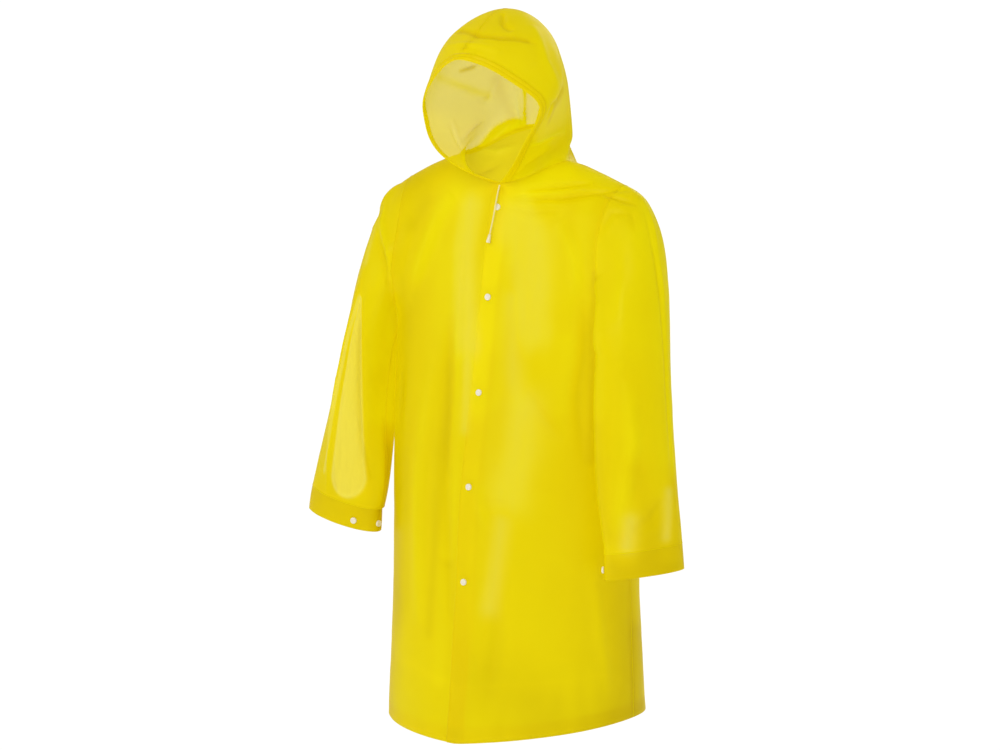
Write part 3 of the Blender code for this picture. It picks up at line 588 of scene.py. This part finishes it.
# The same painted light and shade, on the hood alone
hoodTones = (
    (((-50, -110, 250), (40, -110, 250)), 35, 2, -0.25, 0),
    (((-60, -150, 205), (60, -140, 200)), 30, 2, -0.2, 0),
    # hood: painted light and shade across the top, at the fold at its base, light above and deep below, and
    # down its side
    (((-50, -116, 238), (13, -140, 227), (52, -132, 223), (90, -97, 217)), 5, 2, -0.8, 0),
    (((98, 16, 53), (102, -47, 42), (106, -105, 28)), 5, 2, 0.45, 0),
    (((104, 1, 18), (89, -38, 2), (70, -70, -16), (45, -72, -32), (16, -60, -45)), 12, 4, 0.05, 0),
    (((109, -8, 129), (130, -66, 101), (123, -73, 74)), 10, 2, -0.8, 0),
    (((118, 10, 110), (112, 10, 70)), 25, 2, 0.4, 0),
    # inside the hood: painted light and shade at its folds, and the lower part, where two layers lie
    # together, painted lighter; all let less light straight through
    (((-121, -18, 167), (-114, -6, 171), (-106, 6, 175)), 3, 2, -1.2, -1),
    (((-137, -66, 155), (-122, -20, 140), (-98, 40, 120)), 8, 2, 0.1, -0.6),
    (((-85, 54, 150), (-75, 66, 110), (-64, 75, 75)), 12, 3, -0.5, -0.15),
    (((-44, 90, 130), (-40, 84, 90), (-30, 70, 56)), 4.5, 4, 0.3, -2),
    (((-112, -40, -20), (-120, 20, -21), (-100, 52, 0), (-76, 71, 34), (-56, 82, 45)), 33, 8, 0.75, -2),
    (((116, -30, 0), (118, 20, -5), (100, 55, 10), (72, 75, 30)), 33, 5, 0.6, -2),
    (((-130, 65, -50), (-60, 85, -30), (0, 95, -15), (60, 85, -30), (130, 65, -50)), 50, 5, 0.6, -2),
)
ragged = {                # how uneven the patches' edges are
    "reach": 0.28,
    "size": 0.030,
    "stretch": 4.0,
    "roundness": 8,       # a patch this round or more has a clean edge
}


def alongLine(points, line):
    # distance of each point from a line of straight stretches, and how far along it is, 0 to 1
    steps = np.diff(line, axis=0)
    lengths = np.linalg.norm(steps, axis=1)
    starts = np.concatenate(([0.0], np.cumsum(lengths)))
    gap = np.full(len(points), np.inf)
    share = np.zeros(len(points))
    for a, step, length, start in zip(line[:-1], steps, lengths, starts):
        t = np.clip((points - a) @ step / length ** 2, 0.0, 1.0)
        here = np.linalg.norm(points - a - t[:, None] * step, axis=1)
        nearer = here < gap
        gap[nearer] = here[nearer]
        share[nearer] = (start + t[nearer] * length) / starts[-1]
    return gap, share


def nearLine(points, line, halfWidth):
    # the points close to a line, as a mask
    low = np.min(line, axis=0) - creaseReach * halfWidth
    high = np.max(line, axis=0) + creaseReach * halfWidth
    return np.all((points > low) & (points < high), axis=1)


def foldHeight(points, line, depth, halfWidth, roundness):
    # how far one fold moves each point, in metres: nothing at its ends
    line, depth, halfWidth = np.array(line) / 1000, depth / 1000, halfWidth / 1000
    heights = np.zeros(len(points))
    close = nearLine(points, line, halfWidth)
    gap, share = alongLine(points[close], line)
    fade = np.sin(math.pi * np.clip(share, 0.0, 1.0)) ** creaseFade
    heights[close] = depth * fade * np.exp(-(gap / halfWidth) ** roundness)
    return heights


def inPanels(form, mark, start):
    # the points of the panels whose names start so, as a mask
    numbers = {number for number, name in enumerate(panels) if name.startswith(start)}
    return np.array([any(face[mark] in numbers for face in vert.link_faces) for vert in form.verts])


def bulgeHeights(points, form, mark):
    total = np.zeros(len(points))
    for start, *fold in bulges:
        total += foldHeight(points, *fold) * inPanels(form, mark, start)
    return total


def toneValues(points, heights, inHood):
    # painted light and shade: how much lighter and how milky the film is at each point; its creases are
    # painted lighter where they stand out and deeper where they sink in
    values = np.zeros((len(points), 2))
    # creases painted lighter where they stand out and deeper where they sink in
    values[:, 0] = heights * creaseTone
    pattern = points / ragged["size"] / (1.0, 1.0, ragged["stretch"])
    edge = ragged["reach"] * np.array([noise.noise(Vector(place)) for place in pattern])
    # each patch: painted light or shade, and pale painted sheen that also lets light through
    for number, (line, halfWidth, roundness, lighter, milky) in enumerate(tones + hoodTones):
        line, halfWidth = np.array(line) / 1000, np.array(halfWidth) / 1000
        close = nearLine(points, line, np.max(halfWidth))
        if number >= len(tones):
            close &= inHood
        gap, along = alongLine(points[close], line)
        gap *= 1 + edge[close] * (roundness < ragged["roundness"])
        wide = np.interp(along, (0.0, 1.0), np.broadcast_to(halfWidth, 2))
        share = np.exp(-(gap / wide) ** roundness)
        values[close, 0] += share * lighter
        before, here = values[close, 1], share * milky
        values[close, 1] = np.where(np.abs(here) > np.abs(before), here, before)
    return values


def rippleHeights(points):
    # the film never lies quite smooth
    return np.array([ripple["height"] * noise.noise(spot / ripple["size"])
                     + ripple["fine"] * noise.noise(spot / ripple["fineSize"])
                     for spot in map(Vector, points)])


print("scene: reading the panels")
deselectAll()
form, mark = smoothForm()
points = np.array([v.co for v in form.verts])
normals = np.array([v.normal for v in form.verts])
folds = creaseStrength * sum(foldHeight(points, *crease) for crease in creases)
# painted light and shade at each point, from the creases and the tables of patches
toneOf = toneValues(points, folds, inPanels(form, mark, "hood"))
points += normals * (folds + bulgeHeights(points, form, mark) + rippleHeights(points))[:, None]
for vert, place in zip(form.verts, points):
    vert.co = place
form.normal_update()
normals = np.array([v.normal for v in form.verts])
panelNames = list(panels)
print("scene: one form of", len(form.faces), "faces")


def panelsOf(edge):
    return {panelNames[face[mark]] for face in edge.link_faces}


# Seams and free edges of the form, as pairs of point numbers
seams, rims = {}, {}
for edge in form.edges:
    names = panelsOf(edge)
    ends = (edge.verts[0].index, edge.verts[1].index)
    if len(names) == 2:
        seams.setdefault(frozenset(names), []).append(ends)
    elif edge.is_boundary:
        rims.setdefault(names.pop(), []).append(ends)


def seam(firsts, seconds):
    # every seam between a panel of the first group and one of the second
    found = []
    for first in firsts:
        for second in seconds:
            found += seams.get(frozenset((first, second)), [])
    return found


def isUpright(ends):
    a, b = points[ends[0]], points[ends[1]]
    return abs(a[2] - b[2]) > np.linalg.norm(a[:2] - b[:2])


def walk(start, step):
    # along the grid from one point: the edge to start with, then the straightest at each point
    line = []
    while True:
        line.append((start.index, step.other_vert(start).index))
        start = step.other_vert(start)
        if start.is_boundary:
            return line
        way = start.co - step.other_vert(start).co
        onward = [edge for edge in start.link_edges if edge is not step]
        step = min(onward, key=lambda edge: way.angle(edge.other_vert(start).co - start.co))


def underarmSeam(side):
    # from the armpit down the sleeve and its cuff
    joint = {number for ends in seam(("front_" + side,), ("back",)) for number in ends}
    joint &= {number for ends in seam(("sleeve_" + side,), ("back",)) for number in ends}
    armpit = form.verts[min(joint, key=lambda number: points[number][2])]
    down = [edge for edge in armpit.link_edges if panelsOf(edge) == {"sleeve_" + side}]
    return walk(armpit, min(down, key=lambda edge: edge.other_vert(armpit).co.z))


fronts = ("front_left", "front_right")
hoods = ("hood_left", "hood_right")
bodies = ("back",) + fronts
hemHeight = -1.0          # free edges of the body below this are its hem
lines = {"neck": seam(hoods, bodies), "hoodCentre": seam(("hood_left",), ("hood_right",)),
         "casing": seam(("hood_casing",), hoods), "brim": rims["hood_casing"]}
for name in bodies:
    lines["hem_" + name] = [ends for ends in rims[name]
                            if not isUpright(ends) and points[ends[0]][2] < hemHeight]
for side in ("left", "right"):
    front, sleeve, cuff = "front_" + side, "sleeve_" + side, "cuff_" + side
    lines["edge_" + side] = [ends for ends in rims[front] if isUpright(ends)]
    lines["side_" + side] = [ends for ends in seam((front,), ("back",)) if isUpright(ends)]
    lines["shoulder_" + side] = [ends for ends in seam((front,), ("back",)) if not isUpright(ends)]
    lines["armhole_" + side] = seam((sleeve,), bodies)
    lines["cuffTop_" + side] = seam((sleeve,), (cuff,))
    lines["cuffHem_" + side] = rims[cuff]
    lines["underarm_" + side] = underarmSeam(side)
print("scene: lines", {name: len(line) for name, line in lines.items()})

# What is turned in along each panel's lines: line, width, distance inside, folded edge or seam
turnings = {
    "back": (("hem_back", 0.028, 0.0012, True), ("side_left", 0.009, 0.0008, False),
             ("side_right", 0.009, 0.0008, False), ("shoulder_left", 0.008, 0.0008, False),
             ("shoulder_right", 0.008, 0.0008, False), ("armhole_left", 0.007, 0.0005, False),
             ("armhole_right", 0.007, 0.0005, False), ("neck", 0.005, 0.0005, False)),
    "hood_casing": (("brim", 0.0150, 0.0016, True),),
}
for side in ("left", "right"):
    turnings.update({
        f"front_{side}": ((f"hem_front_{side}", 0.028, 0.0012, True), (f"edge_{side}", 0.038, 0.0009, True),
                          (f"side_{side}", 0.009, 0.0006, False), (f"shoulder_{side}", 0.008, 0.0006, False),
                          (f"armhole_{side}", 0.007, 0.0004, False), ("neck", 0.005, 0.0004, False)),
        f"sleeve_{side}": ((f"armhole_{side}", 0.007, 0.0006, False),
                           (f"underarm_{side}", 0.010, 0.0005, False),
                           (f"cuffTop_{side}", 0.007, 0.0008, False)),
        f"cuff_{side}": ((f"cuffHem_{side}", 0.0435, 0.0012, True),
                         (f"underarm_{side}", 0.010, 0.0005, False)),
        f"hood_{side}": (("hoodCentre", 0.010, 0.0006, False), ("neck", 0.005, 0.0008, False)),
    })
turnedTone = (0.8, 0.0)   # painted light: how much lighter and how milky the film of a turning is
foldBulge = 0.0005        # how far a folded edge rounds out past its line
touching = 1e-5           # points closer to a line than this are on it
pleats = {                # slack film folded in beside a crease: the crease, width, distance inside (mm)
    "sleeve_right": (((-306, -92, -235), (-302, -101, -274), (-298, -112, -356), (-289, -124, -473),
                      (-281, -129, -551), (-268, -123, -615), (-262, -118, -668)), 75, 1.6),
}
casingCrown = {"height": 0.0011, "width": 0.016}    # two low ridges, the cord in the outer one


def lineTree(line):
    # the line as close-set points, to measure from, and the box around it
    spots = [points[a] + (points[b] - points[a]) * share for a, b in line
             for share in (0.0, 0.2, 0.4, 0.6, 0.8, 1.0)]
    return treeOf(spots), np.min(spots, axis=0), np.max(spots, axis=0)


def insetStrip(faces, inset):
    # a copy of some of the panel's faces, just inside it and facing in
    strip = bmesh.new()
    made = {number: strip.verts.new(points[number] - normals[number] * inset)
            for number in {number for face in faces for number in face}}
    for face in faces:
        strip.faces.new([made[number] for number in reversed(face)])
    return strip, made


def clipStrip(strip, far, limit):
    # cuts the strip along the line of equal distance and drops what lies beyond
    for edge in list(strip.edges):
        a, b = edge.verts
        if (far[a] - limit) * (far[b] - limit) < 0:
            share = (limit - far[a]) / (far[b] - far[a])
            _, cut = bmesh.utils.edge_split(edge, a, share)
            far[cut] = limit
    for face in list(strip.faces):
        cut = [v for v in face.verts if far[v] == limit]
        if len(cut) == 2 and min(far[v] for v in face.verts) < limit < max(far[v] for v in face.verts):
            bmesh.utils.face_split(face, cut[0], cut[1])
    beyond = [face for face in strip.faces if max(far[v] for v in face.verts) > limit]
    bmesh.ops.delete(strip, geom=beyond, context="FACES")


def addStrip(cloth, strip):
    # puts the strip's faces into the cloth
    copied = {vert: cloth.verts.new(vert.co) for vert in strip.verts if vert.link_faces}
    for face in strip.faces:
        cloth.faces.new([copied[vert] for vert in face.verts])
    return copied


def addTurning(cloth, outer, faces, line, width, inset, folded):
    # a strip along a line of the panel
    tree, low, high = lineTree(line)
    numbers = np.array(sorted(outer))
    near = numbers[np.all((points[numbers] > low - width) & (points[numbers] < high + width), axis=1)]
    gap = {number: tree.find(points[number])[2] for number in near}
    used = [face for face in faces if min(gap.get(number, math.inf) for number in face) < width]
    strip, made = insetStrip(used, inset)
    source = {vert: number for number, vert in made.items()}
    far = {vert: tree.find(points[number])[2] for number, vert in made.items()}
    clipStrip(strip, far, width)
    copied = addStrip(cloth, strip)
    if folded:
        inner = {source[vert]: copied[vert] for vert in copied if far[vert] < touching}
        closeFold(cloth, outer, inner, line)
    strip.free()


def addPleat(cloth, outer, faces, line, width, inset):
    # a strip just inside the panel, from a crease out to its width on one side
    middle, width, inset = np.array(line) / 1000, width / 1000, inset / 1000
    numbers = np.array(sorted(outer))
    gap, _ = alongLine(points[numbers], middle)
    nearest = np.argmin(np.linalg.norm(points[numbers][:, None] - middle[None], axis=2), axis=1)
    ways = np.gradient(middle, axis=0)[nearest]
    across = np.cross(ways, normals[numbers])
    sign = np.sign(np.sum(across * (points[numbers] - middle[nearest]), axis=1))
    within = (points[numbers, 2] < middle[0, 2]) & (points[numbers, 2] > middle[-1, 2])
    signed = dict(zip(numbers, np.where(within, gap * sign, -1.0)))
    used = [face for face in faces if -width < min(signed[number] for number in face) < width
            and max(signed[number] for number in face) > 0]
    strip, made = insetStrip(used, inset)
    far = {made[number]: -signed[number] for number in made}
    clipStrip(strip, far, 0.0)
    far = {vert: -far[vert] for vert in strip.verts}
    clipStrip(strip, far, width)
    addStrip(cloth, strip)
    strip.free()


def closeFold(cloth, outer, inner, line):
    # joins the panel's edge to its turning by a small round
    middles = {}
    for number in inner:
        within = [edge.other_vert(outer[number]).co for edge in outer[number].link_edges]
        inward = sum(((spot - outer[number].co).normalized() for spot in within), Vector())
        middle = (outer[number].co + inner[number].co) / 2
        middles[number] = cloth.verts.new(middle - inward.normalized() * foldBulge)
    for a, b in line:
        if a in inner and b in inner:
            edge = cloth.edges.get((outer[a], outer[b]))
            loop = edge.link_loops[0]
            if loop.vert is outer[a]:
                a, b = b, a
            cloth.faces.new((outer[a], outer[b], middles[b], middles[a]))
            cloth.faces.new((middles[a], middles[b], inner[b], inner[a]))


def newPiece(form, name, material, tone=()):
    # the form as a smooth piece of its own; tone: its painted light and shade, how much lighter and how
    # milky its points are
    mesh = bpy.data.meshes.new(name)
    form.to_mesh(mesh)
    form.free()
    if len(tone):
        tone = np.broadcast_to(tone, (len(mesh.vertices), 2))
        for column, label in enumerate(("lighter", "milky")):
            layer = mesh.attributes.new(label, "FLOAT", "POINT")
            layer.data.foreach_set("value", tone[:, column].astype(np.float32))
    mesh.shade_smooth()
    return newObject(name, mesh, material)


def facesOf(name):
    # a panel's faces in the form, as point numbers
    number = panelNames.index(name)
    return [[v.index for v in face.verts] for face in form.faces if face[mark] == number]


def makePanel(name):
    faces = facesOf(name)
    cloth = bmesh.new()
    outer = {}
    crowned = name == "hood_casing"
    rim = lineTree(lines["brim"])[0]
    for spot in {index for face in faces for index in face}:
        place = points[spot]
        if crowned:
            across = min(rim.find(place)[2] / casingCrown["width"], 1.0)
            crown = abs(math.sin(2 * math.pi * across))
            place = place + normals[spot] * casingCrown["height"] * crown
        outer[spot] = cloth.verts.new(place)
    for face in faces:
        cloth.faces.new([outer[index] for index in face])
    for line, width, inset, folded in turnings[name]:
        addTurning(cloth, outer, faces, lines[line], width, inset, folded)
    if name in pleats:
        addPleat(cloth, outer, faces, *pleats[name])
    cloth.verts.index_update()
    # painted light on the turnings; the outer points take the painted light and shade of the form
    tone = np.tile(turnedTone, (len(cloth.verts), 1))
    for spot, vert in outer.items():
        tone[vert.index] = toneOf[spot]
    # each panel's painted light or shade
    tone[:, 0] += panelTone.get(name, 0.0)
    material = hoodMaterial if name.startswith("hood") else filmMaterial
    obj = newPiece(cloth, name + "Film", material, tone)
    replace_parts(obj, name)
    return obj


for name in panelNames:
    makePanel(name)


# Weld lines: a low bead along every seam
weldSetup = {
    "halfWidth": 0.0009,
    "height": 0.0005,
    "sink": 0.0003,        # how deep its foot lies in the film
    "shoulders": (0.6, 0.75),    # where its slope breaks, as shares of half width and height
}


def chains(line):
    # the pairs of a line as runs of point numbers
    beside = {}
    for a, b in line:
        beside.setdefault(a, []).append(b)
        beside.setdefault(b, []).append(a)
    left = {frozenset(ends) for ends in line}
    runs = []
    starts = [number for number, others in beside.items() if len(others) != 2] + list(beside)
    for start in starts:
        while True:
            onward = [other for other in beside[start] if frozenset((start, other)) in left]
            if not onward:
                break
            run = [start]
            while onward:
                left.discard(frozenset((run[-1], onward[0])))
                run.append(onward[0])
                onward = [other for other in beside[run[-1]] if frozenset((run[-1], other)) in left]
            runs.append(run)
    return runs


def joinRings(form, rings, around):
    # faces between each row of points and the next; around: the rows close on themselves, with ends
    for first, second in zip(rings[:-1], rings[1:]):
        for i in range(len(first) if around else len(first) - 1):
            j = (i + 1) % len(first)
            form.faces.new((first[i], first[j], second[j], second[i]))
    if around:
        form.faces.new(rings[0][::-1])
        form.faces.new(rings[-1])


def sweepBead(form, spots, ups, setup):
    # a closed bead of six-sided section along a run of points
    ways = np.gradient(spots, axis=0)
    ways /= np.linalg.norm(ways, axis=1)[:, None] + 1e-12
    sides = np.cross(ways, ups) * setup["halfWidth"]
    out, up = setup["shoulders"]
    foot, slope = -setup["sink"], setup["height"] * up
    section = ((-1.0, foot), (-out, slope), (0.0, setup["height"]), (out, slope), (1.0, foot), (0.0, foot))
    rings = [[form.verts.new(spot + side * x + up * y) for x, y in section]
             for spot, up, side in zip(spots, ups, sides)]
    joinRings(form, rings, True)


def makeWelds():
    beads = bmesh.new()
    sewn = [f"{kind}_{side}" for kind in ("side", "shoulder", "armhole", "cuffTop", "underarm")
            for side in ("left", "right")]
    for name in ["neck", "hoodCentre", "casing"] + sewn:
        for run in chains(lines[name]):
            if len(run) > 2:
                sweepBead(beads, points[run], normals[run], weldSetup)
    bmesh.ops.recalc_face_normals(beads, faces=beads.faces)
    # the beads carry the same painted light as the turnings
    return newPiece(beads, "weldLines", filmMaterial, turnedTone)


welds = makeWelds()

# Film patches under the front snaps, inside the placket
patchSetup = {"width": 0.034, "height": 0.038, "inset": 0.0004, "steps": 12}
snapHeights = [sum(corner[2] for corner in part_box(f"snap_{number}")) / 2 for number in range(1, 6)]


def makePatches(setup):
    skin = BVHTree.FromPolygons(points.tolist(), facesOf("front_left"))
    shares = [step / setup["steps"] - 0.5 for step in range(setup["steps"] + 1)]
    patch = bmesh.new()
    for height in snapHeights:
        rows = []
        for up in shares:
            rows.append([])
            for across in shares:
                start = Vector((across * setup["width"], -1.0, height + up * setup["height"]))
                place, normal, _, _ = skin.ray_cast(start, Vector((0, 1, 0)))
                rows[-1].append(patch.verts.new(place - normal * setup["inset"]))
        joinRings(patch, rows, False)
    # the patches carry the same painted light as the turnings
    return newPiece(patch, "snapPatches", filmMaterial, turnedTone)


patches = makePatches(patchSetup)
form.free()


# Snap caps: a rounded disc with a shallow dish and a low boss in it
snapSetup = {
    "radius": 0.0062,
    "height": 0.0024,
    "root": 0.0012,        # how far it reaches into the film
    "round": 0.0009,
    "rimWidth": 0.0016,
    "dishDepth": 0.0005,
    "bossWidth": 0.0022,
    "bossHeight": 0.0003,
    "sides": 48,
    "roundSteps": 4,
}
smoothAngle = math.radians(40)    # edges of caps and bell sharper than this stay sharp


def editFaces(obj, wanted):
    # into edit mode with only the wanted faces selected
    makeActive(obj)
    bpy.ops.object.mode_set(mode="EDIT")
    bpy.ops.mesh.select_mode(type="FACE")
    bpy.ops.mesh.select_all(action="DESELECT")
    bpy.ops.object.mode_set(mode="OBJECT")
    for face in obj.data.polygons:
        face.select = wanted(face)
    bpy.ops.object.mode_set(mode="EDIT")


def lift(height):
    bpy.ops.transform.translate(value=(0.0, 0.0, height))


def snapModel(setup):
    depth = setup["height"] + setup["root"]
    deselectAll()
    bpy.ops.mesh.primitive_cylinder_add(vertices=setup["sides"], radius=setup["radius"], depth=depth,
                                        location=(0, 0, setup["height"] - depth / 2))
    cap = bpy.context.object
    bpy.ops.object.transform_apply(location=True)
    editFaces(cap, lambda face: face.normal.z > 0.9)
    bpy.ops.mesh.bevel(offset=setup["round"], segments=setup["roundSteps"], affect="EDGES")
    bpy.ops.object.mode_set(mode="OBJECT")
    top = max(vert.co.z for vert in cap.data.vertices)
    editFaces(cap, lambda face: face.normal.z > 0.99 and face.center.z > top - touching)
    bpy.ops.mesh.inset(thickness=setup["rimWidth"])
    bpy.ops.mesh.inset(thickness=setup["dishDepth"])
    lift(-setup["dishDepth"])
    bpy.ops.mesh.inset(thickness=setup["bossWidth"] / 2)
    lift(setup["bossHeight"])
    bpy.ops.mesh.inset(thickness=setup["bossWidth"] / 4)
    lift(setup["bossHeight"] / 2)
    bpy.ops.object.mode_set(mode="OBJECT")
    return cap


def axisOf(node, spine):
    # centre of a flat round node and the way that it faces
    spots = np.array([v.co for v in node.data.vertices])
    middle = (spots.min(axis=0) + spots.max(axis=0)) / 2
    _, _, ways = np.linalg.svd(spots - spots.mean(axis=0), full_matrices=False)
    axis = Vector(ways[2])
    if axis.dot(Vector(middle) - nearestOnSpine(Vector(middle), spine)) < 0:
        axis = -axis
    return Vector(middle), axis.normalized()


def placeCopy(model, name, place, way, material):
    # a copy of the model at its place, with its top facing that way
    mesh = model.data.copy()
    mesh.name = name
    mesh.transform(Matrix.Translation(place) @ way.to_track_quat("Z", "Y").to_matrix().to_4x4())
    piece = newObject(name, mesh, material)
    makeActive(piece)
    bpy.ops.object.shade_smooth_by_angle(angle=smoothAngle)
    return piece


def makeSnaps(setup):
    model = snapModel(setup)
    places = {f"snap_{number}": "body" for number in range(1, 6)}
    places.update({f"cuff_snap_left_{number}": "leftArm" for number in (1, 2)})
    places.update({f"cuff_snap_right_{number}": "rightArm" for number in (1, 2)})
    for name, spine in places.items():
        middle, axis = axisOf(nodes[name], spines[spine])
        base = middle - axis * setup["height"] / 2
        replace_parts(placeCopy(model, name + "Cap", base, axis, snapMaterial), name)
    bpy.data.objects.remove(model)


makeSnaps(snapSetup)
print("scene: snaps")

# Drawstring: braided cord from the throat down, ending in a small bell
cordSetup = {
    "route": ((0.0020, -0.0615, -0.0480), (0.0018, -0.0660, -0.0600), (0.0014, -0.0705, -0.0750),
              (0.0008, -0.0740, -0.0892), (-0.0010, -0.0765, -0.1050), (-0.0035, -0.0800, -0.1250),
              (-0.0050, -0.0835, -0.1400)),
    "radius": 0.0015,
    "relief": 0.00016,     # how much the strands stand out
    "strands": 5,
    "pitch": 0.0060,       # length of one turn of a strand
    "sides": 20,
    "ringGap": 0.0003,
    "steps": 30,           # stretches of the path that goes with the cord
}
bellSetup = {
    "length": 0.0157,
    "top": 0.0024,
    "low": 0.0042,
    "round": 0.00035,
    "roundSteps": 3,
    "wall": 0.0011,
    "hollow": 0.006,       # how deep it is open from below
    "gap": 0.0003,         # to the cord's end
    "sides": 40,
    "rounded": 50.0,       # edges sharper than this are, in degrees
}


def smoothRoute(route, count):
    # a natural cubic through the route's points, evenly stepped
    route = np.array(route)
    knots = np.concatenate(([0.0], np.cumsum(np.linalg.norm(np.diff(route, axis=0), axis=1))))
    steps = np.diff(knots)
    slopes = np.diff(route, axis=0) / steps[:, None]
    system = np.eye(len(route))
    right = np.zeros_like(route)
    for i in range(1, len(route) - 1):
        system[i, i - 1:i + 2] = steps[i - 1], 2 * (steps[i - 1] + steps[i]), steps[i]
        right[i] = 6 * (slopes[i] - slopes[i - 1])
    bends = np.linalg.solve(system, right)
    result = []
    for place in np.linspace(0.0, knots[-1], count + 1):
        i = int(np.clip(np.searchsorted(knots, place) - 1, 0, len(steps) - 1))
        a, b = (knots[i + 1] - place) / steps[i], (place - knots[i]) / steps[i]
        bend = (a ** 3 - a) * bends[i] + (b ** 3 - b) * bends[i + 1]
        result.append(a * route[i] + b * route[i + 1] + bend * steps[i] ** 2 / 6)
    return np.array(result), knots[-1]


def makeCord(setup):
    coarse, length = smoothRoute(setup["route"], setup["steps"])
    path, _ = smoothRoute(setup["route"], int(length / setup["ringGap"]))
    ways = np.gradient(path, axis=0)
    ways /= np.linalg.norm(ways, axis=1)[:, None]
    form = bmesh.new()
    side = np.array((1.0, 0.0, 0.0))
    rings = []
    for number, (spot, way) in enumerate(zip(path, ways)):
        side = side - way * (side @ way)
        side /= np.linalg.norm(side)
        other = np.cross(way, side)
        turn = 2 * math.pi * number * setup["ringGap"] / setup["pitch"]
        rings.append([])
        for step in range(setup["sides"]):
            angle = 2 * math.pi * step / setup["sides"]
            strand = max(math.cos(setup["strands"] * angle + turn * setup["strands"]),
                         math.cos(setup["strands"] * angle - turn * setup["strands"]))
            radius = setup["radius"] - setup["relief"] * (0.5 - 0.5 * strand)
            around = side * math.cos(angle) + other * math.sin(angle)
            rings[-1].append(form.verts.new(spot + around * radius))
    joinRings(form, rings, True)
    bmesh.ops.recalc_face_normals(form, faces=form.faces)
    cord = newPiece(form, "drawstringBraid", cordMaterial)
    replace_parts(cord, "drawstring")
    return cord, coarse, length


def makeBell(path, setup):
    deselectAll()
    bpy.ops.mesh.primitive_cone_add(vertices=setup["sides"], radius1=setup["low"],
                                    radius2=setup["top"], depth=setup["length"],
                                    location=(0, 0, -setup["length"] / 2))
    bell = bpy.context.object
    bpy.ops.object.transform_apply(location=True)
    editFaces(bell, lambda face: face.normal.z < -0.9)
    bpy.ops.mesh.inset(thickness=setup["wall"])
    bpy.ops.mesh.extrude_region_move(TRANSFORM_OT_translate={"value": (0, 0, setup["hollow"])})
    bpy.ops.mesh.inset(thickness=setup["wall"] / 2)
    bpy.ops.object.mode_set(mode="OBJECT")
    soften = bell.modifiers.new("soften", "BEVEL")
    soften.width = setup["round"]
    soften.segments = setup["roundSteps"]
    soften.limit_method = "ANGLE"
    soften.angle_limit = math.radians(setup["rounded"])
    bpy.ops.object.modifier_apply(modifier="soften")
    top, way = Vector(path[-1]), Vector(path[-1] - path[-2]).normalized()
    piece = placeCopy(bell, "cordBell", top + way * setup["gap"], -way, bellMaterial)
    bpy.data.objects.remove(bell)
    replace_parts(piece, "cord_end")
    return piece


cord, cordPath, cordLength = makeCord(cordSetup)
bell = makeBell(cordPath, bellSetup)
print("scene: drawstring", round(cordLength, 4), "m")


# Stage and light
stageSetup = {
    "size": 4000,
    "height": -1.60,
    "colour": (0.92, 0.92, 0.92),
    "roughness": 0.9,
    "gloss": 0.1,
    "floorGlow": 0.30,
    "backdrop": 1.04,                 # floor and sky as seen
    "sky": (0.47, 0.44, 0.41),        # the light that the sky gives
    "key": {"place": (0.9, -4.2, 2.4), "aim": (0, 0, -0.35), "size": 2.4, "power": 84.0,
            "colour": (1.0, 0.93, 0.86)},
    "rear": {"place": (-0.6, 4.4, 2.2), "aim": (0, 0, -0.4), "size": 2.4, "power": 34.0,
             "colour": (1.0, 0.955, 0.90)},
    "fill": {"place": (-2.8, -3.2, 0.6), "aim": (0, 0, -0.5), "size": 2.4, "power": 16.0,
             "colour": (1.0, 0.955, 0.90)},
}


def seenAs(tree, seen, lit):
    # looks one way to the camera, and lights the coat in another
    ray = addNode(tree, "LightPath").outputs["Is Camera Ray"]
    return addNode(tree, "MixShader", ray, lit.outputs[0], seen.outputs[0]).outputs[0]


def makeStage(setup):
    bpy.ops.mesh.primitive_plane_add(size=setup["size"], location=(0, 0, setup["height"]))
    floor = bpy.context.object
    floor.name = "floor"
    material = bpy.data.materials.new("paleFloor")
    material.use_nodes = True
    tree = material.node_tree
    skin = feedAll(tree, tree.nodes["Principled BSDF"], Base_Color=setup["colour"],
                   Roughness=setup["roughness"], Specular_IOR_Level=setup["gloss"],
                   Emission_Color=(1.0, 1.0, 1.0), Emission_Strength=setup["floorGlow"])
    white = addNode(tree, "Emission", Strength=setup["backdrop"])
    feedAll(tree, tree.nodes["Material Output"], seenAs(tree, white, skin))
    floor.data.materials.append(material)


def makeSky(setup):
    # a white backdrop, which lights the coat more softly than it looks
    world = bpy.data.worlds.new("studio")
    world.use_nodes = True
    tree = world.node_tree
    tree.nodes.clear()
    light = addNode(tree, "Background", setup["sky"])
    white = addNode(tree, "Background", (1.0, 1.0, 1.0), setup["backdrop"])
    addNode(tree, "OutputWorld", seenAs(tree, white, light))
    bpy.context.scene.world = world


def makeLight(name, setup):
    light = bpy.data.lights.new(name, "AREA")
    light.shape = "DISK"
    light.size = setup["size"]
    light.energy = setup["power"]
    light.color = setup["colour"]
    obj = bpy.data.objects.new(name, light)
    bpy.context.scene.collection.objects.link(obj)
    obj.location = setup["place"]
    aim = Vector(setup["aim"]) - Vector(setup["place"])
    obj.rotation_euler = aim.to_track_quat("-Z", "Y").to_euler()


deselectAll()
makeStage(stageSetup)
makeSky(stageSetup)
for name in ("key", "fill", "rear"):
    makeLight(name, stageSetup[name])
scene = bpy.context.scene
scene.view_settings.view_transform = "Standard"
scene.cycles.max_bounces = 16    # enough for light to pass every layer of film
scene.cycles.diffuse_bounces = 10
scene.cycles.transmission_bounces = 12
scene.cycles.transparent_max_bounces = 16
print("scene: stage and light")
